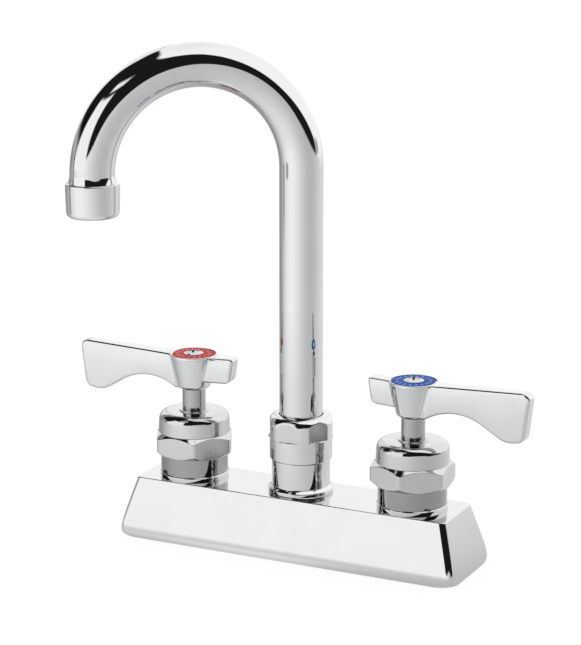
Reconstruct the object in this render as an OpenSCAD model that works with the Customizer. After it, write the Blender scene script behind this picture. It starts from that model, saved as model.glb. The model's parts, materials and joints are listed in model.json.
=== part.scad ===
// Two-handle gooseneck faucet for a deck, with four-inch valve centres.
// Origin on the deck under the spout's axis; +X to the cold side, +Y to the wall, +Z up.

/* [Base] */
// Distance between the hot and the cold valve axes
valve_spread = 101.6; // [90:0.1:130]
// From a valve axis to the foot of the base's end
base_end_margin = 26.6; // [23:0.1:34]
// Width of the base at its foot, front to back
base_width = 42.4; // [42:0.2:50]
// Height of the base above the deck
base_height = 25.5; // [25:0.5:34]
// How far each end leans in between foot and top
end_lean = 6.3; // [3:0.1:8]
// How far the front and the back lean in between foot and top
side_lean = 6.3; // [3:0.1:6.4]
// Radius of the foot's corners at the deck
foot_corner_r = 9; // [4:0.5:11]
// Radius of the upright corners above the rounded foot
top_corner_r = 3.1; // [1.6:0.1:5]
// Radius of the edge round the top
top_edge_r = 1; // [0.4:0.1:1.4]
// Height of the rounded foot
foot_round_height = 4; // [2:0.5:8]
// How far the rounded foot draws in at the deck
foot_round_inset = 0.8; // [0.4:0.1:1.6]
// Wall of the hollow casting
casting_wall = 3; // [2.4:0.1:3.6]
// Thickness of the sealing plate under the base
gasket_thickness = 1.6; // [1:0.1:3]

/* [Valve bodies] */
// Radius of the collar that stands on the base
collar_r = 14.3; // [13.8:0.1:14.6]
// Height of the collar above the base
collar_height = 10.2; // [8:0.1:14]
// How far the bead at the collar's foot stands out
collar_bead = 0.4; // [0.2:0.1:0.8]
// Radius of the threaded spigot under the bonnet
spigot_r = 12.9; // [12.5:0.1:13.3]
// Height of the threaded spigot
spigot_height = 7.8; // [6:0.1:8]
// Radius of the valve body inside the base
valve_body_r = 13.4; // [13:0.1:14.2]
// Radius of the water gallery round the cartridge
gallery_r = 11; // [10.4:0.1:11.6]
// Radius of the waterway between the valves and the spout
waterway_r = 4.2; // [3:0.1:4.4]
// Outer radius of the duct that holds the waterway
duct_r = 7; // [6:0.1:8]

/* [Bonnets] */
// Size across the flats of the bonnet's hexagon
bonnet_af = 31.4; // [31:0.1:33]
// Height of the hexagon
hex_height = 9.5; // [9.2:0.1:12]
// Radius at which the hexagon's corners are turned off
hex_corner_r = 17.8; // [17:0.1:18.4]
// Height of the chamfers that meet the corner edges
hex_chamfer = 2; // [1:0.1:3]
// Radius of the dome at its foot
dome_foot_r = 15.25; // [15:0.05:15.6]
// Radius of the dome under its shoulder
dome_top_r = 14.85; // [14:0.05:15.2]
// Height of the dome above the hexagon
dome_height = 8.9; // [8:0.1:12]
// Radius of the dome's shoulder
dome_shoulder_r = 3.65; // [2:0.05:5]
// Thickness of the dome's top
dome_roof = 2.9; // [2:0.1:3.5]
// Radius of the lip round the stem
lip_r = 6.3; // [5.8:0.1:8]
// Height of the lip
lip_height = 0.6; // [0.3:0.1:1.5]
// Turn of the hot bonnet's hexagon after tightening
hot_hex_turn = -3; // [-30:1:30]
// Turn of the cold bonnet's hexagon after tightening
cold_hex_turn = -25.4; // [-30:0.1:30]

/* [Cartridges] */
// Radius of the cartridge housing in its bore
housing_r = 9.5; // [9:0.1:9.8]
// Radius of the housing's lower part, inside the gallery
housing_foot_r = 9; // [8.6:0.1:9.2]
// Radius of the chamber that holds the discs
chamber_r = 7.6; // [7.4:0.1:7.8]
// Thickness of each ceramic disc
disc_thickness = 3; // [2.4:0.1:3.4]
// Height of the water chamber above the discs
water_chamber = 3.9; // [3.4:0.1:4.2]
// Thickness of the stem's flange
stem_flange = 2.4; // [2:0.1:2.8]
// Thickness of the housing's flange under the bonnet
housing_flange = 2.5; // [2:0.1:2.6]
// Thickness of the washer between housing and bonnet
bonnet_washer = 0.8; // [0.6:0.1:1]
// Thickness of the rubber seal on the seat
seat_seal = 1.6; // [1.2:0.1:2]
// Radius of the stem
stem_r = 4.93; // [4.6:0.01:5.2]
// Travel of a valve from shut to fully open, in degrees
valve_travel = 90; // [60:1:100]

/* [Handles] */
// Height of the bare stem between bonnet and handle
neck_height = 9.7; // [4:0.1:14]
// Height of the hub from its foot to its rim
hub_height = 15.2; // [15:0.1:20]
// Radius of the hub's rim
hub_rim_r = 10.05; // [10:0.05:11]
// Height of the lip round the hub's rim
hub_lip_height = 1.3; // [1.2:0.1:2]
// How far the lip stands out from the hub's side
hub_lip = 0.35; // [0.2:0.05:0.45]
// Radius of the hub above its rounded foot
hub_foot_r = 7.3; // [7.1:0.05:8.6]
// Radius of the hub's rounded foot
hub_round_r = 2.5; // [1.8:0.1:2.6]
// Length of the lever from the valve's axis to its tip
lever_length = 52.3; // [46:0.1:70]
// Height of the lever's paddle at its deepest
paddle_depth = 21.4; // [18:0.1:26]
// Height of the lever at its waist
waist_depth = 11.2; // [10:0.1:12]
// How much higher the ridge is at the tip than at the hub
ridge_rise = 2.6; // [0:0.1:5]
// How far the ridge starts below the hub's rim
ridge_drop = 0.6; // [0.3:0.1:1.5]
// Length of the short arm behind the hub
stub_length = 19.5; // [16:0.1:26]
// Height of the short arm
stub_depth = 11; // [9:0.1:12]
// Thickness of the blade at the hub
blade_hub_t = 8.6; // [7:0.1:10]
// Thickness of the blade at the tip
blade_tip_t = 5.8; // [4:0.1:7]
// Thickness of the short arm at its end
stub_end_t = 6.8; // [5:0.1:8]
// Radius of the blade's edges
blade_edge_r = 0.9; // [0.4:0.1:1.2]
// How far both levers are turned towards the user, in degrees
lever_turn = 4; // [-10:1:20]
// Radius of the coloured index ring
index_r = 9.5; // [9.2:0.05:9.6]
// Thickness of the index ring
index_t = 1.2; // [1:0.1:1.6]
// Radius of the handle screw's head
screw_head_r = 4.2; // [3.6:0.1:4.6]
// Height of the handle screw's head
screw_head_h = 2.4; // [1.8:0.1:3]

/* [Spout] */
// Radius of the spout boss on the base
boss_r = 12.2; // [11.9:0.1:12.6]
// Height of the spout boss below the nut
boss_height = 14.3; // [12:0.1:18]
// How far the bead at the boss's foot stands out
boss_bead = 1.45; // [0.4:0.05:1.8]
// Radius of the boss's thread
boss_thread_r = 11.6; // [11.5:0.05:11.7]
// Height of the boss's thread
boss_thread_height = 10.2; // [9.5:0.1:10.6]
// Height of the spout nut
nut_height = 18.9; // [18.6:0.1:22]
// Radius of the nut's plain skirt
nut_skirt_r = 13.1; // [12.9:0.05:13.4]
// Height of the nut's plain skirt
nut_skirt_height = 9; // [7:0.1:10]
// Radius of the nut above its skirt
nut_r = 13.65; // [13.5:0.05:14.2]
// Size across the six flats of the nut
nut_af = 25.66; // [25.4:0.02:26.4]
// Height of the flats
nut_flat_height = 7.3; // [5:0.1:7.6]
// Radius of the nut's shoulder
nut_shoulder_r = 2.5; // [1.5:0.1:3]
// Outer diameter of the spout tube
tube_d = 18; // [17.4:0.1:18.4]
// Wall of the spout tube
tube_wall = 1.2; // [0.9:0.1:1.5]
// Height of the centre of the spout's arc above the outlet
arc_height = 16.3; // [14.5:0.1:120]
// Distance between the spout's axis and its outlet
spout_reach = 86; // [60:0.5:160]
// Direction in which the spout points, in degrees from the cold side
spout_direction = 221.94; // [180:0.01:360]
// Radius of the spout's swivel spigot
swivel_r = 8; // [7.6:0.05:8.2]
// Length of the swivel spigot below its flange
swivel_length = 23; // [20:0.5:26]
// Thickness of the swivel flange
swivel_flange = 3.4; // [2.8:0.1:3.6]

/* [Aerator] */
// Height of the outlet above the deck
outlet_height = 146.4; // [110:0.1:300]
// Radius of the aerator's housing at its top
aerator_r = 10.85; // [10.4:0.05:12]
// Height of the aerator's housing
aerator_height = 13.7; // [12:0.1:15]
// Radius of the rounded lower edge
aerator_round_r = 2.3; // [1:0.1:2.6]
// Radius of the opening at the outlet
outlet_r = 7.9; // [7:0.1:8.2]
// Thickness of the lip that holds the insert
outlet_lip = 1.6; // [1.2:0.1:2.4]
// Thickness of the aerator's insert
insert_t = 2.8; // [2:0.1:3.4]
// Thickness of the aerator's screen
screen_t = 0.4; // [0.3:0.1:0.6]
// Thickness of the aerator's gasket
aerator_gasket_t = 1.6; // [1.2:0.1:2]

/* [Under the deck] */
// Radius over the inlet shank's pipe thread
shank_r = 10.475; // [10.2:0.005:10.6]
// Length of the shank below the deck
shank_length = 48; // [40:0.5:80]
// Radius of the shank's waterway
shank_bore_r = 7.5; // [6:0.1:8.4]
// Thickness of the deck that the faucet is clamped to
deck_thickness = 24; // [6:0.5:28]
// Radius of the washer under the deck
washer_r = 17; // [15:0.5:22]
// Thickness of the washer under the deck
washer_t = 1.6; // [1:0.1:3]
// Size across the flats of the lock nut
locknut_af = 28.6; // [26:0.1:34]
// Thickness of the lock nut
locknut_t = 7; // [5:0.1:9]

/* [Clearances] */
// Radial clearance of a running fit
running_fit = 0.05; // [0.02:0.01:0.09]
// Radial clearance of a thread or a loose seat
seat_fit = 0.05; // [0.03:0.01:0.09]
// Gap between pieces that pass without touching
free_gap = 0.3; // [0.2:0.05:0.5]
// Gap along the axis between pieces that turn on each other
end_play = 0.1; // [0.05:0.05:0.2]

/* [Hidden] */
$fn = 96;

HOT = -1;
COLD = 1;
// More than any size here, for cuts that run right through
far = 60;
valve_x = valve_spread / 2;
base_half_x = valve_x + base_end_margin;
base_half_y = base_width / 2;
corner_steps = 6;
// How far the shapes of one piece run into each other
lap = 1;

// Heights up the valve, from the deck
collar_top = base_height + collar_height;
spigot_top = collar_top + spigot_height;
hex_top = collar_top + hex_height;
bonnet_top = hex_top + dome_height;
hub_foot = bonnet_top + neck_height;
rim_top = hub_foot + hub_height;
hex_foot_margin = 0.2;
hex_top_margin = 0.6;
bead_r = 1.2;
// How far the beads run into the top of the base
bead_sink = 0.2;

// Heights inside the valve body
shank_socket_top = 10;
seat_floor = 12.5;
gallery_height = 14.5;
gallery_top = seat_floor + gallery_height;
seat_hole_r = 6.5;
seal_hole_r = 6.4;
seal_r = 8.6;
discs_foot = seat_floor + seat_seal;
turning_foot = discs_foot + disc_thickness;
chamber_floor = turning_foot + disc_thickness;
flange_foot = chamber_floor + water_chamber;
flange_top = flange_foot + stem_flange;
chamber_top = flange_top + 2 * end_play;
housing_shoulder = spigot_top + housing_flange;
bonnet_shoulder = housing_shoulder + bonnet_washer;
housing_neck_r = 7.6;
housing_neck_height = 3;
housing_top = housing_shoulder + housing_neck_height;
bonnet_cavity_gap = 0.7;
bonnet_cavity_r = housing_neck_r + bonnet_cavity_gap;
o_ring_slack = 0.04;
bonnet_roof = bonnet_top - dome_roof;
disc_r = chamber_r - running_fit;
port_inner_r = 2.2;
port_outer_r = 6.2;
port_angle = 75;
driver_width = 3.6;
driver_length = 9;
driver_depth = 1.5;
window_width = 8;
stop_angle = 30;
stop_play = 1;
stop_inner_r = 5.6;
flange_r = chamber_r - free_gap - end_play;
stem_groove_r = 3.5;
stem_groove_height = 2.1;
stem_groove_heights = [chamber_top + 5, chamber_top + 10];
housing_groove_r = 8.2;
housing_groove_height = 1.9;
housing_groove_foot = spigot_top - 5;
clip_foot = housing_top + free_gap;
clip_t = 0.8;
clip_r = 6.8;
clip_groove_r = 4;
clip_mouth = 6.4;

// The stem's splined end and the handle's socket
spline_teeth = 16;
spline_r = 4.3;
spline_depth = 0.45;
spline_height = 11;
spline_spare = 0.5;
screw_r = 2;
screw_length = 11;
screw_hole_depth = 9;
cross_slot = 1;
cross_length = 5;
cross_depth = 1.2;
recess_floor = rim_top - index_t;
ridge = rim_top - ridge_drop;
stub_rise = 0.2;
stub_top = ridge + stub_rise;
// How far the two arms of the lever run into each other past the axis
blade_lap = 3;
blade_skim = 0.05;
screw_head_gap = 0.15;
ring_bevel = 0.8;
ring_bevel_height = 0.5;
cross_turn = 20;

// Side view of the lever: where its curves start and how round its corners are
root_reach = 7;
root_drop = 4;
waist_reach = 10.5;
waist_bend = 6;
heel_reach = 8.8;
heel_round = 4;
tip_slant = 1.7;
tip_round = 4.7;
stub_slant = 1;
stub_heel = 3.3;
stub_tip = 1.2;

// Heights up the spout
boss_top = base_height + boss_height;
thread_top = boss_top + boss_thread_height;
nut_foot = boss_top + free_gap;
nut_top = nut_foot + nut_height;
nut_skirt_top = nut_foot + nut_skirt_height;
nut_flat_rise = 0.6;
nut_flat_foot = nut_skirt_top + nut_flat_rise;
nut_chamfer = 0.6;
tube_r = tube_d / 2;
tube_bore_r = tube_r - tube_wall;
arc_r = spout_reach / 2;
arc_centre = outlet_height + arc_height;
swivel_flange_foot = thread_top + end_play;
swivel_flange_top = swivel_flange_foot + swivel_flange;
swivel_flange_r = 10.6;
swivel_washer_foot = swivel_flange_top + end_play;
swivel_washer_t = 1;
swivel_washer_top = swivel_washer_foot + swivel_washer_t;
nut_cavity_r = 11;
thread_spare = 0.5;
nut_hole_r = tube_r + free_gap;
swivel_bore_r = 5.6;
swivel_plug_height = 6.5;
swivel_foot = swivel_flange_foot - swivel_length;
swivel_groove_r = 6.6;
swivel_groove_height = 1.9;
swivel_groove_heights = [swivel_foot + 4, swivel_foot + 12];
boss_under_r = 13.2;
boss_floor = 12;
boss_floor_t = 3;
boss_bead_r = 1.4;
waterway_height = seat_floor + waterway_r + 0.3;

// Heights up the outlet
insert_foot = outlet_height + outlet_lip;
screen_foot = insert_foot + insert_t;
aerator_gasket_foot = screen_foot + screen_t;
tube_end = aerator_gasket_foot + aerator_gasket_t;
aerator_top = outlet_height + aerator_height;
aerator_bore_r = tube_r + seat_fit;
outlet_bore_r = tube_bore_r - 1;
aerator_taper = 0.25;
aerator_foot_r = aerator_r - aerator_taper;
aerator_band = 3;
aerator_chamfer = 0.5;
insert_hole_r = 0.6;
insert_rings = [[1, 0], [6, 2.6], [12, 5.2]];

// Heights under the deck
washer_top = -deck_thickness;
locknut_top = washer_top - washer_t;
locknut_foot = locknut_top - locknut_t;
shank_chamfer = 1;
// Relief between the lock nut's thread and the thread for the supply's coupling
relief_width = 1;
relief_depth = 0.9;
relief_gap = 0.6;
relief_foot = locknut_foot - relief_gap - relief_width;

function mix(a, b, t) = a + (b - a) * t;

// Point on a cubic curve with four control points
function cubic(p, t) =
    pow(1 - t, 3) * p[0] + 3 * t * pow(1 - t, 2) * p[1]
    + 3 * t * t * (1 - t) * p[2] + pow(t, 3) * p[3];

// The curve as a list of points, without its first one
function curve(p, steps) = [for (i = [1:steps]) cubic(p, i / steps)];

// Rounded rectangle, anticlockwise, with the same number of points in every corner
function rounded_rectangle(half_x, half_y, r) = [
    for (corner = [0:3]) for (i = [0:corner_steps])
        let (
            a = 90 * corner + 90 * i / corner_steps,
            x = (corner == 0 || corner == 3 ? 1 : -1) * (half_x - r),
            y = (corner < 2 ? 1 : -1) * (half_y - r)
        )
        [x + r * cos(a), y + r * sin(a)]
];

// How far the foot's rounding has come at a height, from 0 at the deck to 1 where the walls start
function foot_sweep(z) =
    z >= foot_round_height ? 1 : sqrt(1 - pow(1 - z / foot_round_height, 2));

// Outline of the base at a height, drawn in by an inset
function base_outline(z, inset) =
    let (
        t = z / base_height,
        r = mix(foot_corner_r, top_corner_r, foot_sweep(z))
    )
    rounded_rectangle(
        base_half_x - end_lean * t - inset,
        base_half_y - side_lean * t - inset,
        max(r - inset, 0.5)
    );

// Outline of the hollow under the base at a height, drawn in by a gap
function cavity_outline(z, gap) =
    let (
        t = z / base_height,
        inset = casting_wall + gap
    )
    rounded_rectangle(
        base_half_x - end_lean * t - inset,
        base_half_y - side_lean * t - inset,
        max(foot_corner_r - inset, 0.5)
    );

function ring_at(outline, z) = [for (p = outline) [p[0], p[1], z]];

// Heights and insets of the base's rings: the rounded foot, the leaning walls, the top edge
foot_rings = [
    for (a = [0:30:90]) [foot_round_height * (1 - cos(a)), foot_round_inset * (1 - sin(a))]
];
edge_rings = [
    for (a = [0:30:90]) [base_height - top_edge_r * (1 - sin(a)), top_edge_r * (1 - cos(a))]
];

// Closed solid through rings of points, each anticlockwise as seen from the last ring's side
module loft(rings) {
    n = len(rings[0]);
    last = (len(rings) - 1) * n;
    sides = [
        for (k = [0:len(rings) - 2]) for (i = [0:n - 1])
            let (a = k * n + i, b = k * n + (i + 1) % n)
            each [[a, a + n, b + n], [a, b + n, b]]
    ];
    foot = [for (i = [0:n - 1]) i];
    top = [for (i = [n - 1:-1:0]) last + i];
    polyhedron([for (ring = rings) each ring], concat([foot], sides, [top]), convexity = 6);
}

module at_valve(side) {
    translate([side * valve_x, 0, 0]) children();
}

// The hot side's inner pieces are the mirror image of the cold side's
module handed(side) {
    at_valve(side) mirror([side < 0 ? 1 : 0, 0, 0]) children();
}

module tube_at(foot, top, inner_r, outer_r) {
    translate([0, 0, foot])
        linear_extrude(top - foot)
            difference() {
                circle(outer_r);
                circle(inner_r);
            }
}

module sector(inner_r, outer_r, angle, height) {
    rotate([0, 0, -angle / 2])
        rotate_extrude(angle = angle)
            translate([inner_r, 0])
                square([outer_r - inner_r, height]);
}

// Rubber ring that fills the gap between a groove and a bore, with a little to spare
module o_ring(groove_r, bore_r, middle) {
    section_r = (bore_r - groove_r) / 2 - o_ring_slack;
    translate([0, 0, middle])
        rotate_extrude()
            translate([(bore_r + groove_r) / 2, 0])
                circle(section_r, $fn = 24);
}

module groove(groove_r, outer_r, foot, height) {
    tube_at(foot, foot + height, groove_r, outer_r + lap);
}

// Base and valve bodies

module base_shell() {
    cavity_top = base_height - casting_wall;
    difference() {
        loft([for (level = concat(foot_rings, edge_rings))
            ring_at(base_outline(level[0], level[1]), level[0])]);
        loft([for (z = [-lap, cavity_top]) ring_at(cavity_outline(z, 0), z)]);
    }
}

module foot_bead(r, out, section_r) {
    translate([r + out - section_r, base_height + section_r - bead_sink])
        circle(section_r, $fn = 48);
}

module valve_body() {
    rotate_extrude() {
        translate([0, gasket_thickness])
            square([valve_body_r, base_height - lap - gasket_thickness]);
        translate([0, base_height - 2 * lap])
            square([collar_r, collar_height + 2 * lap]);
        translate([0, collar_top - lap])
            square([spigot_r, spigot_height + lap]);
        foot_bead(collar_r, collar_bead, bead_r);
    }
}

module valve_bore() {
    rotate_extrude() {
        translate([0, -lap]) square([shank_r + seat_fit, shank_socket_top + lap]);
        square([seat_hole_r, seat_floor + lap]);
        translate([0, seat_floor]) square([gallery_r, gallery_height]);
        translate([0, seat_floor]) square([housing_r + seat_fit, far]);
    }
}

module spout_boss() {
    rotate_extrude() {
        translate([0, boss_floor - boss_floor_t])
            square([boss_under_r, base_height - lap - boss_floor + boss_floor_t]);
        translate([0, base_height - 2 * lap])
            square([boss_r, boss_height + 2 * lap]);
        translate([0, boss_top - lap])
            square([boss_thread_r, boss_thread_height + lap]);
        foot_bead(boss_r, boss_bead, boss_bead_r);
    }
}

module along_x(r) {
    translate([-valve_x, 0, waterway_height])
        rotate([0, 90, 0])
            cylinder(r = r, h = valve_spread);
}

module body_casting() {
    color("gainsboro")
        difference() {
            union() {
                base_shell();
                for (side = [HOT, COLD]) at_valve(side) valve_body();
                spout_boss();
                along_x(duct_r);
            }
            for (side = [HOT, COLD]) at_valve(side) valve_bore();
            translate([0, 0, boss_floor]) cylinder(r = swivel_r + running_fit, h = far);
            along_x(waterway_r);
        }
}

module deck_gasket() {
    color("dimgray")
        difference() {
            linear_extrude(gasket_thickness)
                polygon(cavity_outline(gasket_thickness, free_gap));
            for (side = [HOT, COLD])
                at_valve(side) translate([0, 0, -lap])
                    cylinder(r = shank_r + free_gap, h = gasket_thickness + 2 * lap);
        }
}

// Under the deck

module inlet_shank(side) {
    color("goldenrod")
        at_valve(side)
            difference() {
                translate([0, 0, -shank_length]) union() {
                    cylinder(r1 = shank_r - shank_chamfer, r2 = shank_r, h = shank_chamfer);
                    translate([0, 0, shank_chamfer])
                        cylinder(r = shank_r, h = shank_length + shank_socket_top - shank_chamfer);
                }
                translate([0, 0, -shank_length - lap])
                    cylinder(r = shank_bore_r, h = shank_length + shank_socket_top + 2 * lap);
                groove(shank_r - relief_depth, shank_r, relief_foot, relief_width);
            }
}

module shank_washer(side) {
    color("silver")
        at_valve(side) tube_at(washer_top - washer_t, washer_top, shank_r + free_gap, washer_r);
}

module locknut(side) {
    color("goldenrod")
        at_valve(side)
            translate([0, 0, locknut_foot])
                difference() {
                    cylinder(r = locknut_af / 2 / cos(30), h = locknut_t, $fn = 6);
                    translate([0, 0, -lap]) cylinder(r = shank_r + seat_fit, h = locknut_t + 2 * lap);
                }
}

// Bonnets and cartridges

module hex_band(af) {
    foot_r = af / 2 - hex_foot_margin;
    top_r = af / 2 - hex_top_margin;
    intersection() {
        cylinder(r = af / 2 / cos(30), h = hex_height, $fn = 6);
        rotate_extrude()
            polygon([
                [0, 0], [foot_r, 0], [hex_corner_r, hex_chamfer],
                [hex_corner_r, hex_height - hex_chamfer], [top_r, hex_height], [0, hex_height]
            ]);
    }
}

module dome() {
    shoulder = dome_height - dome_shoulder_r;
    rotate_extrude() {
        polygon([
            [0, -lap], [dome_foot_r, -lap], [dome_foot_r, 0], [dome_top_r, shoulder], [0, shoulder]
        ]);
        square([dome_top_r - dome_shoulder_r, dome_height]);
        translate([dome_top_r - dome_shoulder_r, shoulder]) circle(dome_shoulder_r);
        square([lip_r, dome_height + lip_height]);
    }
}

module bonnet(side) {
    color("gainsboro")
        at_valve(side)
            difference() {
                union() {
                    translate([0, 0, collar_top])
                        rotate([0, 0, side < 0 ? hot_hex_turn : cold_hex_turn])
                            hex_band(bonnet_af);
                    translate([0, 0, hex_top]) dome();
                }
                rotate_extrude() {
                    square([spigot_r + seat_fit, bonnet_shoulder]);
                    square([bonnet_cavity_r, bonnet_roof]);
                    square([stem_r + running_fit, bonnet_top + far]);
                }
            }
}

module bonnet_washer(side) {
    color("saddlebrown")
        at_valve(side)
            tube_at(housing_shoulder, bonnet_shoulder, bonnet_cavity_r, spigot_r - free_gap);
}

module cartridge_housing(side) {
    color("khaki")
        handed(side) {
            difference() {
                rotate_extrude() {
                    translate([0, discs_foot])
                        square([housing_foot_r, spigot_top - discs_foot]);
                    translate([0, gallery_top])
                        square([housing_r, spigot_top - gallery_top]);
                    translate([0, spigot_top])
                        square([spigot_r - free_gap, housing_flange]);
                    translate([0, spigot_top])
                        square([housing_neck_r, housing_top - spigot_top]);
                }
                rotate_extrude() {
                    translate([0, discs_foot - lap])
                        square([chamber_r, chamber_top - discs_foot + lap]);
                    translate([0, chamber_top - lap]) square([stem_r + running_fit, far]);
                }
                groove(housing_groove_r, housing_r, housing_groove_foot, housing_groove_height);
                translate([-window_width / 2, -far / 2, chamber_floor + free_gap])
                    cube([window_width, far, water_chamber - 2 * free_gap]);
            }
            translate([0, 0, flange_foot])
                sector(stop_inner_r, chamber_r + free_gap, stop_angle, chamber_top - flange_foot);
        }
}

module housing_o_ring(side) {
    color("black")
        at_valve(side)
            o_ring(
                housing_groove_r, housing_r + seat_fit,
                housing_groove_foot + housing_groove_height / 2
            );
}

module disc(turn) {
    difference() {
        cylinder(r = disc_r, h = disc_thickness);
        for (a = [turn, turn + 180])
            rotate([0, 0, a]) translate([0, 0, -lap])
                sector(port_inner_r, port_outer_r, port_angle, disc_thickness + 2 * lap);
    }
}

module fixed_disc(side) {
    color("white")
        handed(side) translate([0, 0, discs_foot]) disc(0);
}

module turning_disc(side) {
    color("ivory")
        handed(side)
            translate([0, 0, turning_foot])
                difference() {
                    disc(90);
                    driver(disc_thickness - driver_depth, disc_thickness + lap, seat_fit);
                }
}

module driver(foot, top, spare) {
    translate([-driver_length / 2 - spare, -driver_width / 2 - spare, foot])
        cube([driver_length + 2 * spare, driver_width + 2 * spare, top - foot]);
}

module seat_seal_ring(side) {
    color("black")
        at_valve(side) tube_at(seat_floor, discs_foot, seal_hole_r, seal_r);
}

// Stems and handles

function spline(r, teeth, depth) = [
    for (i = [0:2 * teeth - 1])
        let (a = 180 * i / teeth)
        (i % 2 == 0 ? r : r - depth) * [cos(a), sin(a)]
];

module stem(side) {
    cut_angle = valve_travel + stop_angle + 2 * stop_play;
    color("lightgray")
        handed(side)
            difference() {
                union() {
                    translate([0, 0, flange_top - lap])
                        cylinder(r = stem_r, h = hub_foot - flange_top + lap);
                    translate([0, 0, flange_foot]) cylinder(r = flange_r, h = stem_flange);
                    driver(chamber_floor - driver_depth, flange_foot + lap, 0);
                    translate([0, 0, hub_foot - lap])
                        linear_extrude(spline_height + lap)
                            polygon(spline(spline_r, spline_teeth, spline_depth));
                }
                translate([0, 0, flange_foot - lap])
                    rotate([0, 0, valve_travel / 2])
                        sector(stop_inner_r - free_gap, far, cut_angle, stem_flange + 1.5 * lap);
                for (foot = stem_groove_heights)
                    groove(stem_groove_r, stem_r, foot, stem_groove_height);
                groove(clip_groove_r, stem_r, clip_foot, clip_t);
                translate([0, 0, hub_foot + spline_height - screw_hole_depth])
                    cylinder(r = screw_r + seat_fit, h = far);
            }
}

module stem_o_rings(side) {
    color("black")
        at_valve(side)
            for (foot = stem_groove_heights)
                o_ring(stem_groove_r, stem_r, foot + stem_groove_height / 2);
}

module stem_clip(side) {
    color("silver")
        handed(side)
            translate([0, 0, clip_foot])
                difference() {
                    cylinder(r = clip_r, h = clip_t);
                    translate([0, 0, -lap])
                        cylinder(r = clip_groove_r + seat_fit, h = clip_t + 2 * lap);
                    translate([0, -clip_mouth / 2, -lap])
                        cube([far, clip_mouth, clip_t + 2 * lap]);
                }
}

// Height of the lever's ridge at a distance from the axis
function ridge_at(s) = ridge + ridge_rise * s / lever_length;

// Side view of the lever as distance from the axis and height, anticlockwise
function lever_outline() =
    let (
        tip = lever_length,
        tip_top = ridge_at(tip),
        lowest = tip_top - paddle_depth,
        waist_s = hub_rim_r + waist_reach,
        waist = ridge_at(waist_s) - waist_depth,
        root = waist - root_drop,
        heel_s = tip - heel_reach,
        foot_s = tip - tip_slant,
        bend = 0.35 * tip_round
    )
    concat(
        [[-blade_lap, root]],
        curve([
            [root_reach, root], [mix(root_reach, waist_s, 0.26), mix(root, waist, 0.55)],
            [waist_s - waist_bend, waist], [waist_s, waist]
        ], 8),
        curve([
            [waist_s, waist], [mix(waist_s, heel_s, 0.5), waist],
            [mix(waist_s, heel_s, 0.74), lowest], [heel_s, lowest]
        ], 14),
        curve([
            [heel_s, lowest], [mix(foot_s, heel_s, 0.3), lowest],
            [foot_s - 0.1 * heel_round, lowest + 0.22 * heel_round],
            [foot_s, lowest + heel_round]
        ], 7),
        [[tip, tip_top - tip_round]],
        curve([
            [tip, tip_top - tip_round], [tip, tip_top - bend],
            [tip - bend, ridge_at(tip - bend)], [tip - tip_round, ridge_at(tip - tip_round)]
        ], 7),
        [[-blade_lap, ridge_at(-blade_lap)]]
    );

// Side view of the short arm, drawn towards its end in the same way
function stub_outline() =
    let (
        top = stub_top,
        foot = top - stub_depth,
        end = stub_length,
        foot_s = end - stub_slant,
        heel_bend = 0.45 * stub_heel,
        tip_bend = 0.45 * stub_tip
    )
    concat(
        [[-blade_lap, foot], [foot_s - stub_heel, foot]],
        curve([
            [foot_s - stub_heel, foot], [foot_s - heel_bend, foot],
            [foot_s, foot + heel_bend], [foot_s, foot + stub_heel]
        ], 5),
        [[end, top - stub_tip]],
        curve([
            [end, top - stub_tip], [end, top - tip_bend], [end - tip_bend, top], [end - stub_tip, top]
        ], 4),
        [[-blade_lap, top]]
    );

// Section across a blade at a distance from the axis: upright sides and a flat top with
// rounded edges, anticlockwise as seen from the blade's end
function blade_section(s, length, end_t, top) =
    let (
        r = blade_edge_r,
        half_t = mix(blade_hub_t, end_t, s / length) / 2,
        edge = [for (a = [0:15:90]) [half_t - r * (1 - cos(a)), top - r * (1 - sin(a))]]
    )
    concat(
        [[s, -half_t, 0], [s, half_t, 0]],
        [for (p = edge) [s, p[0], p[1]]],
        [for (i = [len(edge) - 1:-1:0]) [s, -edge[i][0], edge[i][1]]]
    );

// Upright blade: a side view carried across, in common with a bar that gets thinner from the
// axis to the end. The bar's top lies a hair under the side view's, so it makes the whole top.
module blade(outline, length, end_t, tops) {
    starts = [-blade_lap - lap, length + lap];
    intersection() {
        rotate([90, 0, 0]) linear_extrude(far, center = true) polygon(outline);
        loft([for (i = [0, 1]) blade_section(starts[i], length, end_t, tops[i] - blade_skim)]);
    }
}

module hub() {
    round_centre = [hub_foot_r - hub_round_r, hub_round_r];
    lip_foot = hub_height - hub_lip_height;
    rotate_extrude() {
        polygon([
            [0, hub_round_r], [hub_foot_r, hub_round_r], [hub_rim_r - hub_lip, lip_foot],
            [hub_rim_r, lip_foot + hub_lip], [hub_rim_r, hub_height], [0, hub_height]
        ]);
        square([round_centre[0], hub_round_r + lap]);
        translate(round_centre) circle(hub_round_r);
    }
}

module handle(side) {
    color("gainsboro")
        at_valve(side)
            difference() {
                union() {
                    translate([0, 0, hub_foot]) hub();
                    rotate([0, 0, side < 0 ? 180 + lever_turn : -lever_turn]) {
                        blade(
                            lever_outline(), lever_length, blade_tip_t,
                            [ridge_at(-blade_lap - lap), ridge_at(lever_length + lap)]
                        );
                        mirror([1, 0, 0])
                            blade(stub_outline(), stub_length, stub_end_t, [stub_top, stub_top]);
                    }
                }
                translate([0, 0, recess_floor]) cylinder(r = index_r + seat_fit, h = far);
                translate([0, 0, hub_foot - lap])
                    linear_extrude(spline_height + spline_spare + lap)
                        polygon(spline(spline_r + seat_fit, spline_teeth, spline_depth));
                translate([0, 0, hub_foot]) cylinder(r = screw_r + free_gap, h = far);
            }
}

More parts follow.
